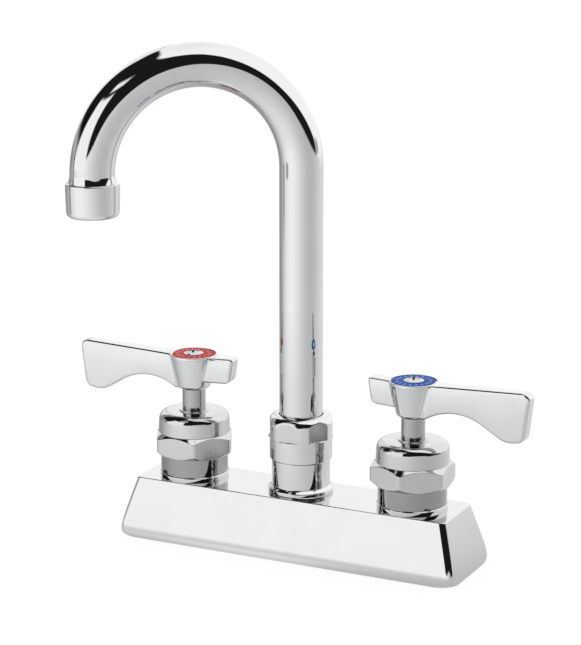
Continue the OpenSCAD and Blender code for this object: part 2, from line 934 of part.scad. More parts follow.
module index_ring(side) {
    inner_r = screw_head_r + screw_head_gap;
    color(side < 0 ? "firebrick" : "mediumblue")
        at_valve(side)
            translate([0, 0, recess_floor])
                rotate_extrude()
                    polygon([
                        [inner_r, 0], [index_r, 0], [index_r, index_t - ring_bevel_height],
                        [index_r - ring_bevel, index_t], [inner_r, index_t]
                    ]);
}

module handle_screw(side) {
    crown_r = 9;
    color("silver")
        at_valve(side)
            translate([0, 0, recess_floor])
                difference() {
                    union() {
                        intersection() {
                            cylinder(r = screw_head_r, h = screw_head_h);
                            translate([0, 0, screw_head_h - crown_r]) sphere(crown_r);
                        }
                        translate([0, 0, -screw_length])
                            cylinder(r = screw_r, h = screw_length + lap);
                    }
                    for (a = [cross_turn, cross_turn + 90])
                        rotate([0, 0, a])
                            translate([-cross_length / 2, -cross_slot / 2, screw_head_h - cross_depth])
                                cube([cross_length, cross_slot, cross_depth + lap]);
                }
}

// Spout

module spout_nut() {
    shoulder = nut_height - nut_shoulder_r;
    color("gainsboro")
        difference() {
            translate([0, 0, nut_foot])
                difference() {
                    rotate_extrude() {
                        polygon([
                            [0, 0], [nut_skirt_r - nut_chamfer, 0], [nut_skirt_r, nut_chamfer],
                            [nut_skirt_r, nut_skirt_height], [nut_r, nut_skirt_height],
                            [nut_r, shoulder], [0, shoulder]
                        ]);
                        square([nut_r - nut_shoulder_r, nut_height]);
                        translate([nut_r - nut_shoulder_r, shoulder]) circle(nut_shoulder_r);
                    }
                    translate([0, 0, nut_flat_foot - nut_foot])
                        linear_extrude(nut_flat_height)
                            difference() {
                                circle(nut_r + lap);
                                circle(nut_af / 2 / cos(30), $fn = 6);
                            }
                }
            rotate_extrude() {
                square([boss_thread_r + seat_fit, thread_top + thread_spare]);
                square([nut_cavity_r, swivel_washer_top]);
                square([nut_hole_r, nut_top + lap]);
            }
        }
}

module spout_washer() {
    color("white")
        tube_at(
            swivel_washer_foot, swivel_washer_top, nut_hole_r, nut_cavity_r - seat_fit
        );
}

module swivel_spigot() {
    color("goldenrod")
        difference() {
            rotate_extrude() {
                translate([0, swivel_foot]) square([swivel_r, swivel_length]);
                translate([0, swivel_flange_foot]) square([swivel_flange_r, swivel_flange]);
                translate([0, swivel_flange_foot])
                    square([tube_bore_r - seat_fit, swivel_flange + swivel_plug_height]);
            }
            translate([0, 0, swivel_foot - lap]) cylinder(r = swivel_bore_r, h = far);
            for (foot = swivel_groove_heights)
                groove(swivel_groove_r, swivel_r, foot, swivel_groove_height);
        }
}

module swivel_o_rings() {
    color("black")
        for (foot = swivel_groove_heights)
            o_ring(swivel_groove_r, swivel_r, foot + swivel_groove_height / 2);
}

module towards_outlet() {
    rotate([0, 0, spout_direction]) children();
}

module spout_tube() {
    color("gainsboro")
        towards_outlet()
            union() {
                tube_at(swivel_flange_top, arc_centre, tube_bore_r, tube_r);
                translate([arc_r, 0, arc_centre])
                    rotate([90, 0, 0])
                        rotate_extrude(angle = 180)
                            translate([arc_r, 0])
                                difference() {
                                    circle(tube_r);
                                    circle(tube_bore_r);
                                }
                translate([spout_reach, 0, 0]) tube_at(tube_end, arc_centre, tube_bore_r, tube_r);
            }
}

// Aerator

module at_outlet() {
    towards_outlet() translate([spout_reach, 0, 0]) children();
}

module aerator_housing() {
    side_foot = outlet_height + aerator_round_r;
    color("gainsboro")
        at_outlet()
            difference() {
                rotate_extrude() {
                    polygon([
                        [0, side_foot], [aerator_foot_r, side_foot],
                        [aerator_r, aerator_top - aerator_band],
                        [aerator_r, aerator_top - aerator_chamfer],
                        [aerator_r - aerator_chamfer, aerator_top], [0, aerator_top]
                    ]);
                    translate([0, outlet_height])
                        square([aerator_foot_r - aerator_round_r, aerator_round_r + lap]);
                    translate([aerator_foot_r - aerator_round_r, side_foot]) circle(aerator_round_r);
                }
                translate([0, 0, outlet_height - lap]) cylinder(r = outlet_r, h = far);
                translate([0, 0, insert_foot]) cylinder(r = aerator_bore_r, h = far);
            }
}

module aerator_insert() {
    color("whitesmoke")
        at_outlet()
            translate([0, 0, insert_foot])
                difference() {
                    cylinder(r = aerator_bore_r - seat_fit, h = insert_t);
                    for (ring = insert_rings) for (i = [1:ring[0]])
                        rotate([0, 0, 360 * i / ring[0]])
                            translate([ring[1], 0, -lap])
                                cylinder(r = insert_hole_r, h = insert_t + 2 * lap, $fn = 16);
                }
}

module aerator_screen() {
    color("silver")
        at_outlet()
            translate([0, 0, screen_foot]) cylinder(r = aerator_bore_r - seat_fit, h = screen_t);
}

module aerator_gasket() {
    color("black")
        at_outlet()
            tube_at(aerator_gasket_foot, tube_end, outlet_bore_r, aerator_bore_r - seat_fit);
}

body_casting();
deck_gasket();
inlet_shank(HOT);  // hot_inlet_shank
inlet_shank(COLD);  // cold_inlet_shank
shank_washer(HOT);  // hot_shank_washer
shank_washer(COLD);  // cold_shank_washer
locknut(HOT);  // hot_locknut
locknut(COLD);  // cold_locknut
bonnet(HOT);  // hot_bonnet
bonnet(COLD);  // cold_bonnet
bonnet_washer(HOT);  // hot_bonnet_washer
bonnet_washer(COLD);  // cold_bonnet_washer
cartridge_housing(HOT);  // hot_cartridge_housing
cartridge_housing(COLD);  // cold_cartridge_housing
housing_o_ring(HOT);  // hot_housing_o_ring
housing_o_ring(COLD);  // cold_housing_o_ring
fixed_disc(HOT);  // hot_fixed_disc
fixed_disc(COLD);  // cold_fixed_disc
seat_seal_ring(HOT);  // hot_seat_seal
seat_seal_ring(COLD);  // cold_seat_seal
handle(HOT);  // hot_handle
handle(COLD);  // cold_handle
index_ring(HOT);  // hot_index_ring
index_ring(COLD);  // cold_index_ring
handle_screw(HOT);  // hot_handle_screw
handle_screw(COLD);  // cold_handle_screw
stem(HOT);  // hot_stem
stem(COLD);  // cold_stem
stem_o_rings(HOT);  // hot_stem_o_rings
stem_o_rings(COLD);  // cold_stem_o_rings
stem_clip(HOT);  // hot_stem_clip
stem_clip(COLD);  // cold_stem_clip
turning_disc(HOT);  // hot_turning_disc
turning_disc(COLD);  // cold_turning_disc
spout_nut();
spout_washer();
spout_tube();
swivel_spigot();
swivel_o_rings();
aerator_housing();
aerator_insert();
aerator_screen();
aerator_gasket();
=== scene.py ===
"""Chrome deck faucet with two lever valves and a gooseneck spout.

The solids come in as a fixed frame. The visible metal is worked out again here as smooth surfaces
with rounded edges, and every piece gets its finish. Sizes are metres, in the frame's own axes:
+X to the cold side, +Y to the back, +Z up from the deck.
"""

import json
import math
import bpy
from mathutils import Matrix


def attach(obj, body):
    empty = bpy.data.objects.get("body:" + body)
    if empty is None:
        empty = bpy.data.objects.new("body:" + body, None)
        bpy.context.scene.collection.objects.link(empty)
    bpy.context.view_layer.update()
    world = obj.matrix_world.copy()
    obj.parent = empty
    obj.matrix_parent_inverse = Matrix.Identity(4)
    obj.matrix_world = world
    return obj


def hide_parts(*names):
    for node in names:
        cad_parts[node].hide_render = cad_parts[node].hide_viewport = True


bl_info = {
    "name": "Gooseneck Deck Faucet",
    "version": (1, 0, 0),
    "blender": (4, 5, 0),
    "location": "View3D > Sidebar > Faucet",
    "description": "Builds the plated surfaces, finishes and studio of a two-handle deck faucet",
    "category": "Object",
}

import bmesh
import bpy
import numpy as np
from bpy.props import FloatProperty, FloatVectorProperty, IntProperty, PointerProperty
from mathutils import Vector

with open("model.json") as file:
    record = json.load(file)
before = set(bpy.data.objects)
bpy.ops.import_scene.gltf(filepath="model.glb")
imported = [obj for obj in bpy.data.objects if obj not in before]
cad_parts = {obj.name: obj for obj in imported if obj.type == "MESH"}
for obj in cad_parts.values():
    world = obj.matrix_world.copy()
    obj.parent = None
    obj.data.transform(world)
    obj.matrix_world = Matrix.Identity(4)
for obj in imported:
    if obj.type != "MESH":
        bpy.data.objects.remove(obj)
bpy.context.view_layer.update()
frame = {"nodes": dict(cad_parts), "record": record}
MM = 0.001
VALVES = {"hot": -1, "cold": 1}


# Sizes and colours that a user would change


def length(name, description, default):
    return FloatProperty(name=name, description=description, default=default, unit="LENGTH", precision=5)


def bearing(name, description, degrees):
    return FloatProperty(name=name, description=description, default=math.radians(degrees), subtype="ANGLE")


def colour(name, description, default):
    return FloatVectorProperty(name=name, description=description, default=default,
                               subtype="COLOR", size=3, min=0, max=1)


class BaseSizes(bpy.types.PropertyGroup):
    half_length: length("Half length", "From the middle to the foot of the end", 0.0774)
    half_width: length("Half width", "From the middle to the front, before the foot's inset", 0.0212)
    height: length("Height", "Height of the base above the deck", 0.0255)
    lean: length("Lean", "How far the walls lean in between foot and top", 0.0063)
    foot_corner: length("Foot corner", "Radius of the upright corners at the foot", 0.009)
    top_corner: length("Upright corner", "Radius of the upright corners above the rounded foot", 0.0023)
    corner_turn: length("Corner turn", "Height over which the corners widen at the foot", 0.0013)
    corner_skew: length("Corner skew", "Extra reach of the corners along the front, above the foot", 0.0004)
    foot_turn: length("Foot turn", "Height over which the walls turn upright at the foot", 0.0042)
    foot_inset: length("Foot inset", "How far the long walls' foot stands inside the half width", 0.00056)
    top_edge: length("Top edge", "Radius of the edge round the top", 0.0004)
    wall: length("Wall", "Wall of the hollow casting", 0.003)
    collar_radius: length("Collar radius", "Radius of the collars that carry the bonnets", 0.0143)
    boss_radius: length("Boss radius", "Radius of the spout's boss", 0.0122)
    valve_x: length("Valve distance", "From the middle to a valve's axis", 0.0508)


class BonnetSizes(bpy.types.PropertyGroup):
    flats: length("Across flats", "Size across the flats of the bonnet's hexagon", 0.0314)
    corner_radius: length("Turned corners", "Radius at which the hexagon's corners are turned off", 0.0178)
    foot: length("Foot", "Height of the bonnet's foot above the deck", 0.0357)
    hex_top: length("Hexagon top", "Height of the hexagon's top above the deck", 0.0452)
    top: length("Top", "Height of the dome's top above the deck", 0.0541)
    dome_foot: length("Dome foot", "Radius of the dome at its foot", 0.01525)
    dome_top: length("Dome top", "Radius of the dome under its shoulder", 0.01485)
    shoulder: length("Shoulder", "Radius of the dome's shoulder", 0.00365)
    stem: length("Stem", "Radius of the stem", 0.00493)
    hot_turn: bearing("Hot turn", "Turn of the hot hexagon after tightening", -3)
    cold_turn: bearing("Cold turn", "Turn of the cold hexagon after tightening", -25.4)


class HandleSizes(bpy.types.PropertyGroup):
    hub_foot: length("Hub foot", "Height of the hub's foot above the deck", 0.0638)
    hub_height: length("Hub height", "Height of the hub", 0.0152)
    rim: length("Rim", "Radius of the hub's rim", 0.01005)
    lip: length("Lip", "How far the rim stands out from the hub's side", 0.00035)
    lip_height: length("Lip height", "Height of the lip round the rim", 0.0013)
    waist: length("Foot radius", "Radius of the hub above its rounded foot", 0.0073)
    foot_round: length("Foot round", "Radius of the hub's rounded foot", 0.0025)
    lever: length("Lever", "Length of the lever from the valve's axis", 0.0523)
    stub: length("Short arm", "Length of the short arm from the valve's axis", 0.0195)
    hub_thickness: length("Blade at hub", "Thickness of the blade at the hub", 0.0086)
    tip_thickness: length("Blade at tip", "Thickness of the blade at its tip", 0.0058)
    stub_thickness: length("Short arm's end", "Thickness of the short arm at its end", 0.0068)
    edge: length("Edges", "Radius of the blade's edges", 0.00115)
    fillet: length("Fillet", "Radius between blade and hub", 0.0011)
    spread: length("Spread", "How much thicker each side of the blade gets towards the hub", 0.0005)
    crown: length("Crown", "How far the faces of the blade swell in the middle of their height", 0.00015)
    turn: bearing("Turn", "How far both levers point towards the user", 4)


class SpoutSizes(bpy.types.PropertyGroup):
    tube: length("Tube", "Radius of the spout's tube", 0.009)
    tube_wall: length("Tube wall", "Wall of the spout's tube", 0.0012)
    arc_centre: length("Arc centre", "Height of the arc's centre above the deck", 0.1627)
    arc: length("Arc", "Radius of the arc's centre line", 0.043)
    tube_foot: length("Tube foot", "Height of the tube's foot above the deck", 0.0535)
    tube_end: length("Tube end", "Height of the tube's end above the deck", 0.1528)
    direction: bearing("Direction", "Direction in which the spout points", 221.94)
    nut: length("Nut", "Radius of the nut above its skirt", 0.01365)
    nut_skirt: length("Nut skirt", "Radius of the nut's skirt", 0.0131)
    nut_flats: length("Nut flats", "Size across the nut's flats", 0.02566)
    nut_ledge: length("Nut ledge", "Height of the nut's skirt", 0.009)
    nut_foot: length("Nut foot", "Height of the nut's foot above the deck", 0.0401)
    nut_top: length("Nut top", "Height of the nut's top above the deck", 0.059)
    aerator: length("Aerator", "Radius of the aerator's housing", 0.01085)
    outlet: length("Outlet", "Height of the outlet above the deck", 0.1464)


class FinishColours(bpy.types.PropertyGroup):
    chrome: colour("Chrome", "Plating of the casting, handles and spout", (0.64, 0.644, 0.648))
    bonnet: colour("Bonnet", "Plating of the bonnets' domes", (0.56, 0.564, 0.567))
    satin: colour("Satin", "Milled flats, which are only brushed before plating", (0.575, 0.582, 0.582))
    # The collars' tint is about half the casting's chrome: painted shade for the darker reflections round the
    # collars.
    collar: colour("Collar", "Turned collars under the bonnets", (0.34, 0.342, 0.344))
    stem: colour("Stem", "Plating of the stems", (0.40, 0.404, 0.407))
    screw: colour("Screw", "Plating of the screws", (0.55, 0.557, 0.564))
    red: colour("Red", "Enamel of the hot ring", (0.47, 0.025, 0.02))
    blue: colour("Blue", "Enamel of the cold ring", (0.004, 0.07, 0.34))
    brass: colour("Brass", "Bare brass of shanks, nuts and housings", (0.74, 0.55, 0.27))
    steel: colour("Steel", "Stamped washers, clips and screen", (0.60, 0.61, 0.62))
    rubber: colour("Rubber", "Seals and rings", (0.03, 0.03, 0.032))
    fibre: colour("Fibre", "Washers under the bonnets", (0.34, 0.12, 0.06))
    ceramic: colour("Ceramic", "Discs of the cartridges", (0.82, 0.81, 0.78))
    plastic: colour("Plastic", "Slip washer and aerator insert", (0.80, 0.81, 0.82))


class StudioSizes(bpy.types.PropertyGroup):
    wall_radius: length("Wall radius", "Distance of the studio's wall from the faucet", 1.9)
    lens: FloatProperty(name="Lens", description="Focal length in millimetres", default=122.39)
    haze: FloatProperty(name="Haze", description="Share of handling haze on the plating",
                        default=0.6, min=0, max=1)
    scratches: IntProperty(name="Scratches", description="Fine scratches across a millimetre of plating",
                           default=2, min=1, max=8)


def sizes(name):
    """The scene's property group of that name."""
    return getattr(bpy.context.scene, "faucet_" + name)


# Shapes worked out with numpy


def mix(a, b, share):
    """a where the share is 0 and b where it is 1."""
    return a + (b - a) * share


def rounded(corners, steps=7):
    """A closed profile from rows of distance, height and corner radius, all in millimetres.

    Each corner with a radius is replaced by the circular arc that touches both of its edges:
    the arc starts radius / tan(half the inner angle) before the corner and ends as far after it.
    The result is in metres.
    """
    corners = np.array(corners, float)
    spot, radius = corners[:, :2], corners[:, 2]
    before = np.roll(spot, 1, 0) - spot
    after = np.roll(spot, -1, 0) - spot
    before /= np.linalg.norm(before, axis=1)[:, None]
    after /= np.linalg.norm(after, axis=1)[:, None]
    inner = np.arccos(np.clip((before * after).sum(1), -1, 1))
    out = []
    for p, r, b, a, angle in zip(spot, radius, before, after, inner):
        if r <= 0:
            out.append(p[None])
            continue
        middle = p + (b + a) / np.linalg.norm(b + a) * r / math.sin(angle / 2)
        first = p + b * r / math.tan(angle / 2) - middle
        last = p + a * r / math.tan(angle / 2) - middle
        sweep = math.atan2(first[0] * last[1] - first[1] * last[0], first @ last)
        t = np.linspace(0, sweep, steps + 1)
        turned_x = first[0] * np.cos(t) - first[1] * np.sin(t)
        turned_y = first[0] * np.sin(t) + first[1] * np.cos(t)
        out.append(middle + np.stack([turned_x, turned_y], 1))
    return np.concatenate(out) * MM


def quads(rows, columns, close_rows=True, close_columns=True):
    """Faces of a grid whose points are numbered row by row, closed round either way."""
    i = np.arange(rows if close_rows else rows - 1)
    j = np.arange(columns if close_columns else columns - 1)
    i, j = np.meshgrid(i, j, indexing="ij")
    up, right = (i + 1) % rows, (j + 1) % columns
    corners = i * columns + j, i * columns + right, up * columns + right, up * columns + j
    return np.stack(corners, -1).reshape(-1, 4)


def grid(points, close_rows=True, close_columns=True):
    """A skin over rows of points: the points in one list, and the faces between them."""
    return points.reshape(-1, 3), quads(*points.shape[:2], close_rows, close_columns)


def turned(profile, centre=(0, 0), steps=160, reshape=None):
    """A turned piece: the profile's distance r and height z carried round an upright axis.

    A point is (r cos a, r sin a, z). With reshape, r is first changed as a function of r, a and z.
    """
    a = np.linspace(0, 2 * math.pi, steps, endpoint=False)
    r = np.repeat(profile[:, :1], steps, 1)
    z = np.repeat(profile[:, 1:], steps, 1)
    if reshape is not None:
        r = reshape(r, a[None], z)
    return grid(np.stack([centre[0] + r * np.cos(a), centre[1] + r * np.sin(a), z], -1))


def lofted(rings):
    """A closed skin through rings of points, with a flat face on the first and the last ring."""
    points, sides = grid(np.asarray(rings, float), close_rows=False)
    each, whole = len(rings[0]), len(points)
    ends = [tuple(range(each - 1, -1, -1)), tuple(range(whole - each, whole))]
    return points, [tuple(f) for f in sides] + ends


def from_flat(a, turn):
    """The angle a counted from the middle of the nearest of six flats."""
    part = math.pi / 3
    return (a - turn) % part - part / 2


def polygon_flats(flats, turn, start, end, soften=0.12 * MM):
    """Reshape for turned(): six flats milled on a round piece between two heights.

    A flat's distance from the axis at angle a is half the size across flats / cos(a), with a
    counted from the flat's middle. The smaller of that and r counts, blended over a short way.
    """
    ramp = 0.02 * MM

    def reshape(r, a, z):
        flat = flats / 2 / np.cos(from_flat(a, turn))
        cut = 0.5 * (r + flat - np.sqrt((r - flat) ** 2 + soften ** 2))
        return mix(r, cut, np.clip((z - start) / ramp, 0, 1) * np.clip((end - z) / ramp, 0, 1))
    return reshape


def on_flats(flats, turn, centre, start, end):
    """Test of points: do they lie on the six flats between two heights."""
    def test(p):
        x, y = p[:, 0] - centre[0], p[:, 1] - centre[1]
        across = np.hypot(x, y) * np.cos(from_flat(np.arctan2(y, x), turn))
        return (np.abs(across - flats / 2) < 0.06 * MM) & (p[:, 2] > start) & (p[:, 2] < end)
    return test


def rounded_rectangle(half_x, half_y, reach_x, reach_y, steps=14):
    """Outline of a rectangle with quarter ellipses at its corners, anticlockwise.

    Each corner reaches reach_x along the long sides and reach_y along the short ones, and half a
    millimetre at least.
    """
    quarter = np.linspace(0, math.pi / 2, steps + 1)
    a = np.concatenate([quarter + k * math.pi / 2 for k in range(4)])
    x_side = np.repeat([1, -1, -1, 1], steps + 1)
    y_side = np.repeat([1, 1, -1, -1], steps + 1)
    reach_x, reach_y = max(reach_x, 0.5 * MM), max(reach_y, 0.5 * MM)
    return np.stack([x_side * (half_x - reach_x) + reach_x * np.cos(a),
                     y_side * (half_y - reach_y) + reach_y * np.sin(a)], 1)


def at_height(outline, z):
    """A flat outline's points at one height."""
    return np.column_stack([outline, np.full(len(outline), z)])


def cubic(p, steps):
    """Points on the cubic curve with four control points, without its first one."""
    t = np.linspace(0, 1, steps + 1)[1:, None]
    p = np.array(p, float)
    return (1 - t) ** 3 * p[0] + 3 * t * (1 - t) ** 2 * p[1] + 3 * t * t * (1 - t) * p[2] + t ** 3 * p[3]


def cleaned(parts):
    """One mesh from several skins of points and faces, with doubled points merged."""
    points, faces, start = [], [], 0
    for p, f in parts:
        points.append(np.asarray(p, float))
        faces += [tuple(int(v) + start for v in face) for face in f]
        start += len(p)
    mesh = bpy.data.meshes.new("piece")
    mesh.from_pydata(np.concatenate(points), [], faces)
    work = bmesh.new()
    work.from_mesh(mesh)
    bmesh.ops.remove_doubles(work, verts=work.verts, dist=1e-7)
    bmesh.ops.recalc_face_normals(work, faces=work.faces)
    work.to_mesh(mesh)
    work.free()
    return mesh


def add_piece(name, parts, body, replaced, finish, second=None):
    """Makes an object of the parts, shades it smooth by face area, and ties it to the frame.

    second is a finish and a test of the faces' middles that says where it goes.
    """
    mesh = cleaned(parts)
    mesh.name = name
    mesh.shade_smooth()
    piece = bpy.data.objects.new(name, mesh)
    bpy.context.scene.collection.objects.link(piece)
    weighted = piece.modifiers.new("even shading", "WEIGHTED_NORMAL")
    weighted.mode = "FACE_AREA"
    weighted.weight = 60
    mesh.materials.append(finish)
    if second is not None:
        mesh.materials.append(second[0])
        middle = np.empty(3 * len(mesh.polygons))
        mesh.polygons.foreach_get("center", middle)
        mesh.polygons.foreach_set("material_index", second[1](middle.reshape(-1, 3)).astype(np.int32))
    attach(piece, body)
    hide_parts(*replaced)


# Finishes


def feed(tree, node, inputs):
    """Feeds a node's inputs, by name or number, with plain values or other nodes' outputs."""
    for key, value in inputs.items():
        if isinstance(value, bpy.types.NodeSocket):
            tree.links.new(value, node.inputs[key])
        else:
            node.inputs[key].default_value = value


def add_node(tree, kind, inputs, output=0, **settings):
    """Adds a shader node, sets and feeds it, and gives back one of its outputs."""
    node = tree.nodes.new("ShaderNode" + kind)
    for key, value in settings.items():
        setattr(node, key, value)
    feed(tree, node, inputs)
    return node.outputs[output]


def math_node(tree, operation, *values):
    """The result of one sum on numbers or other nodes' outputs."""
    return add_node(tree, "Math", dict(enumerate(values)), operation=operation)


def ranged(tree, value, low, high, to_low=0.0, to_high=1.0):
    """Value taken smoothly from one range to another."""
    limits = {"From Min": low, "From Max": high, "To Min": to_low, "To Max": to_high}
    return add_node(tree, "MapRange", {"Value": value, **limits}, interpolation_type="SMOOTHSTEP")


def noise(tree, vector, scale, detail=2.0, roughness=0.5, stretch=None):
    """Smooth noise between 0 and 1, finer along an axis whose stretch is larger."""
    if stretch is not None:
        vector = add_node(tree, "Mapping", {"Vector": vector, "Scale": stretch})
    return add_node(tree, "TexNoise", {"Vector": vector, "Scale": scale, "Detail": detail,
                                       "Roughness": roughness}, "Fac")


def blended(tree, factor, a, b):
    """Colour a where the factor is 0 and b where it is 1."""
    return add_node(tree, "Mix", {0: factor, 6: a, 7: b}, 2, data_type="RGBA")


def bumped(tree, height, strength, distance):
    """A normal that leans as a height of that distance would make it."""
    return add_node(tree, "Bump", {"Height": height, "Strength": strength, "Distance": distance})


def placed(tree, name, vector, **values):
    """The mask of the shared group of that name, fed with a vector and its numbers."""
    return add_node(tree, "Group", {"Vector": vector, **values}, node_tree=bpy.data.node_groups[name])


def new_group(name, **numbers):
    """A shader node group that makes a mask of a vector and a few numbers, still empty."""
    group = bpy.data.node_groups.new(name, "ShaderNodeTree")
    group.interface.new_socket("Vector", in_out="INPUT", socket_type="NodeSocketVector")
    for socket, default in numbers.items():
        made = group.interface.new_socket(socket, in_out="INPUT", socket_type="NodeSocketFloat")
        made.default_value = default
    group.interface.new_socket("Mask", in_out="OUTPUT", socket_type="NodeSocketFloat")
    entry, leave = group.nodes.new("NodeGroupInput"), group.nodes.new("NodeGroupOutput")
    return group, entry.outputs, leave.inputs["Mask"]


def polish_marks_group():
    """Fine straight scratches in three directions: the peaks of noise that is stretched lengthwise."""
    group, entry, mask = new_group("polish marks", Scale=900.0)
    marks = []
    for turn, stretch in ((0.6, (1.0, 14.0, 2.0)), (-0.9, (12.0, 1.0, 3.0)), (0.2, (2.0, 9.0, 11.0))):
        along = add_node(group, "Mapping", {"Vector": entry["Vector"], "Rotation": (turn, -turn, 2 * turn)})
        streaks = noise(group, along, entry["Scale"], detail=1.0, roughness=0.4, stretch=stretch)
        marks.append(ranged(group, streaks, 0.66, 0.74))
    both = math_node(group, "MAXIMUM", marks[0], marks[1])
    group.links.new(math_node(group, "MAXIMUM", both, marks[2]), mask)


def haze_group():
    """Faint smears from handling: slow noise, broken up by finer noise."""
    group, entry, mask = new_group("handling haze", Scale=90.0)
    fine_scale = math_node(group, "MULTIPLY", entry["Scale"], 11.0)
    slow = noise(group, entry["Vector"], entry["Scale"], detail=3.0, roughness=0.55)
    fine = noise(group, entry["Vector"], fine_scale, roughness=0.6)
    breaks = ranged(group, fine, 0.3, 0.65, to_low=0.35)
    group.links.new(math_node(group, "MULTIPLY", ranged(group, slow, 0.42, 0.72), breaks), mask)


def tick_group():
    """Marks round a dial: a mark where the fraction of turns times count is small, within two radii.

    Fifty is added before the fraction is taken, so that it isn't taken of a negative number.
    """
    group, entry, mask = new_group("dial marks", Count=24.0, Inner=0.006, Outer=0.008, Share=0.2)
    split = group.nodes.new("ShaderNodeSeparateXYZ")
    group.links.new(entry["Vector"], split.inputs[0])
    x, y = split.outputs[0], split.outputs[1]

    def times(a, b):
        return math_node(group, "MULTIPLY", a, b)

    turns = math_node(group, "DIVIDE", math_node(group, "ARCTAN2", y, x), 2 * math.pi)
    part = math_node(group, "FRACT", math_node(group, "ADD", times(turns, entry["Count"]), 50.0))
    near = math_node(group, "LESS_THAN", part, entry["Share"])
    away = math_node(group, "SQRT", math_node(group, "ADD", times(x, x), times(y, y)))
    outside = math_node(group, "GREATER_THAN", away, entry["Inner"])
    inside = math_node(group, "LESS_THAN", away, entry["Outer"])
    group.links.new(times(near, times(outside, inside)), mask)


def new_material(name):
    """A material, its node tree, its shader and the places on the object to work its pattern out from."""
    material = bpy.data.materials.new(name)
    material.use_nodes = True
    tree = material.node_tree
    where = tree.nodes.new("ShaderNodeTexCoord").outputs["Object"]
    return material, tree, tree.nodes["Principled BSDF"], where


def tinted(tint, share=1.0):
    """A colour times a share, as a colour socket takes it."""
    return (*[v * share for v in tint], 1.0)


def plated(name, tint, base_roughness, fineness=1.0, waviness=0.0):
    """Plated metal: a mirror with scratches and handling haze in its roughness, and a faint wave."""
    material, tree, shader, where = new_material(name)
    studio = sizes("studio")
    marks = placed(tree, "polish marks", where, Scale=450.0 * studio.scratches * fineness)
    haze = placed(tree, "handling haze", where, Scale=70.0)
    hazed = blended(tree, haze, tinted(tint), tinted(tint, 0.965))
    rough = math_node(tree, "MULTIPLY_ADD", haze, 0.05 * studio.haze, base_roughness)
    feed(tree, shader, {"Metallic": 1.0, "Base Color": blended(tree, marks, hazed, tinted(tint, 0.93)),
                        "Roughness": math_node(tree, "MULTIPLY_ADD", marks, 0.07, rough)})
    if waviness:
        wave = noise(tree, where, 160.0, detail=1.0, roughness=0.4)
        feed(tree, shader, {"Normal": bumped(tree, wave, waviness, 0.0002)})
    return material


def machined(name, tint, roughness, grain=1400.0):
    """Bare turned metal: fine rings of tool marks along the axis, and patches of tarnish."""
    material, tree, shader, where = new_material(name)
    lines = noise(tree, where, grain, stretch=(0.05, 0.05, 1.0))
    tarnish = placed(tree, "handling haze", where, Scale=120.0)
    metal = blended(tree, tarnish, tinted(tint), tinted(tint, 0.72))
    rough = math_node(tree, "MULTIPLY_ADD", tarnish, 0.15, roughness)
    feed(tree, shader, {"Metallic": 1.0, "Base Color": metal,
                        "Roughness": math_node(tree, "MULTIPLY_ADD", lines, 0.12, rough),
                        "Normal": bumped(tree, lines, 0.25, 0.00005)})
    return material


def moulded(name, tint, roughness, grain=2500.0, depth=0.00003, coat=0.0, variation=0.8):
    """Moulded or pressed material: a fine grain in bump and roughness, and slow changes of colour."""
    material, tree, shader, where = new_material(name)
    grains = noise(tree, where, grain, detail=3.0, roughness=0.6)
    slow = placed(tree, "handling haze", where, Scale=150.0)
    feed(tree, shader, {"Base Color": blended(tree, slow, tinted(tint), tinted(tint, variation)),
                        "Roughness": ranged(tree, grains, 0.3, 0.7, roughness - 0.06, roughness + 0.08),
                        "Normal": bumped(tree, grains, 0.3, depth), "Coat Weight": coat})
    return material


def enamelled(name, tint, valve_x):
    """Smooth enamel with a row of plain printed marks round the ring, a little hazy from wiping."""
    material, tree, shader, where = new_material(name)
    centred = add_node(tree, "Mapping", {"Vector": where, "Location": (-valve_x, 0, 0)})
    ticks = placed(tree, "dial marks", centred, Count=18.0, Inner=0.0063, Outer=0.0076, Share=0.13)
    haze = placed(tree, "handling haze", where, Scale=200.0)
    marks = placed(tree, "polish marks", where, Scale=1300.0)
    enamel = blended(tree, haze, tinted(tint), tinted(tint, 0.82))
    rough = math_node(tree, "MULTIPLY_ADD", haze, 0.08, 0.32)
    feed(tree, shader, {"Base Color": blended(tree, ticks, enamel, tinted((0.66, 0.66, 0.68))),
                        "Roughness": math_node(tree, "MULTIPLY_ADD", marks, 0.12, rough),
                        "Normal": bumped(tree, ticks, 0.4, 0.00005), "Specular IOR Level": 0.025})
    return material


def make_finishes():
    """All finishes by the name of the record's slot, and those that only this script's shells have."""
    tint, valve = sizes("colours"), sizes("base").valve_x
    for make_group in (polish_marks_group, haze_group, tick_group):
        make_group()
    return {
        "chrome": plated("polished chrome", tint.chrome, 0.03),
        "bonnet": plated("bonnet chrome", tint.bonnet, 0.04),
        "satin": plated("satin chrome", tint.satin, 0.24),
        # Painted shade: the collars get a darker copy of the plated chrome.
        "collar": plated("turned collar with painted shade", tint.collar, 0.06, fineness=1.2),
        "chrome_stem": plated("turned chrome", tint.stem, 0.1, fineness=1.4),
        "chrome_screw": plated("plated screw", tint.screw, 0.12, fineness=1.8, waviness=0.2),
        "red_enamel": enamelled("red enamel", tint.red, -valve),
        "blue_enamel": enamelled("blue enamel", tint.blue, valve),
        "brass": machined("machined brass", tint.brass, 0.24),
        "steel": machined("stamped steel", tint.steel, 0.26, grain=900.0),
        "rubber": moulded("moulded rubber", tint.rubber, 0.6, variation=1.6),
        "fibre": moulded("pressed fibre", tint.fibre, 0.7, grain=1500.0, depth=0.0001, variation=0.7),
        "ceramic": moulded("lapped ceramic", tint.ceramic, 0.3, grain=4000.0, depth=0.00001, variation=0.95),
        "white_plastic": moulded("white moulding", tint.plastic, 0.35, grain=2000.0, depth=0.00002,
                                 coat=0.1, variation=0.93),
    }


FINISHES = {}


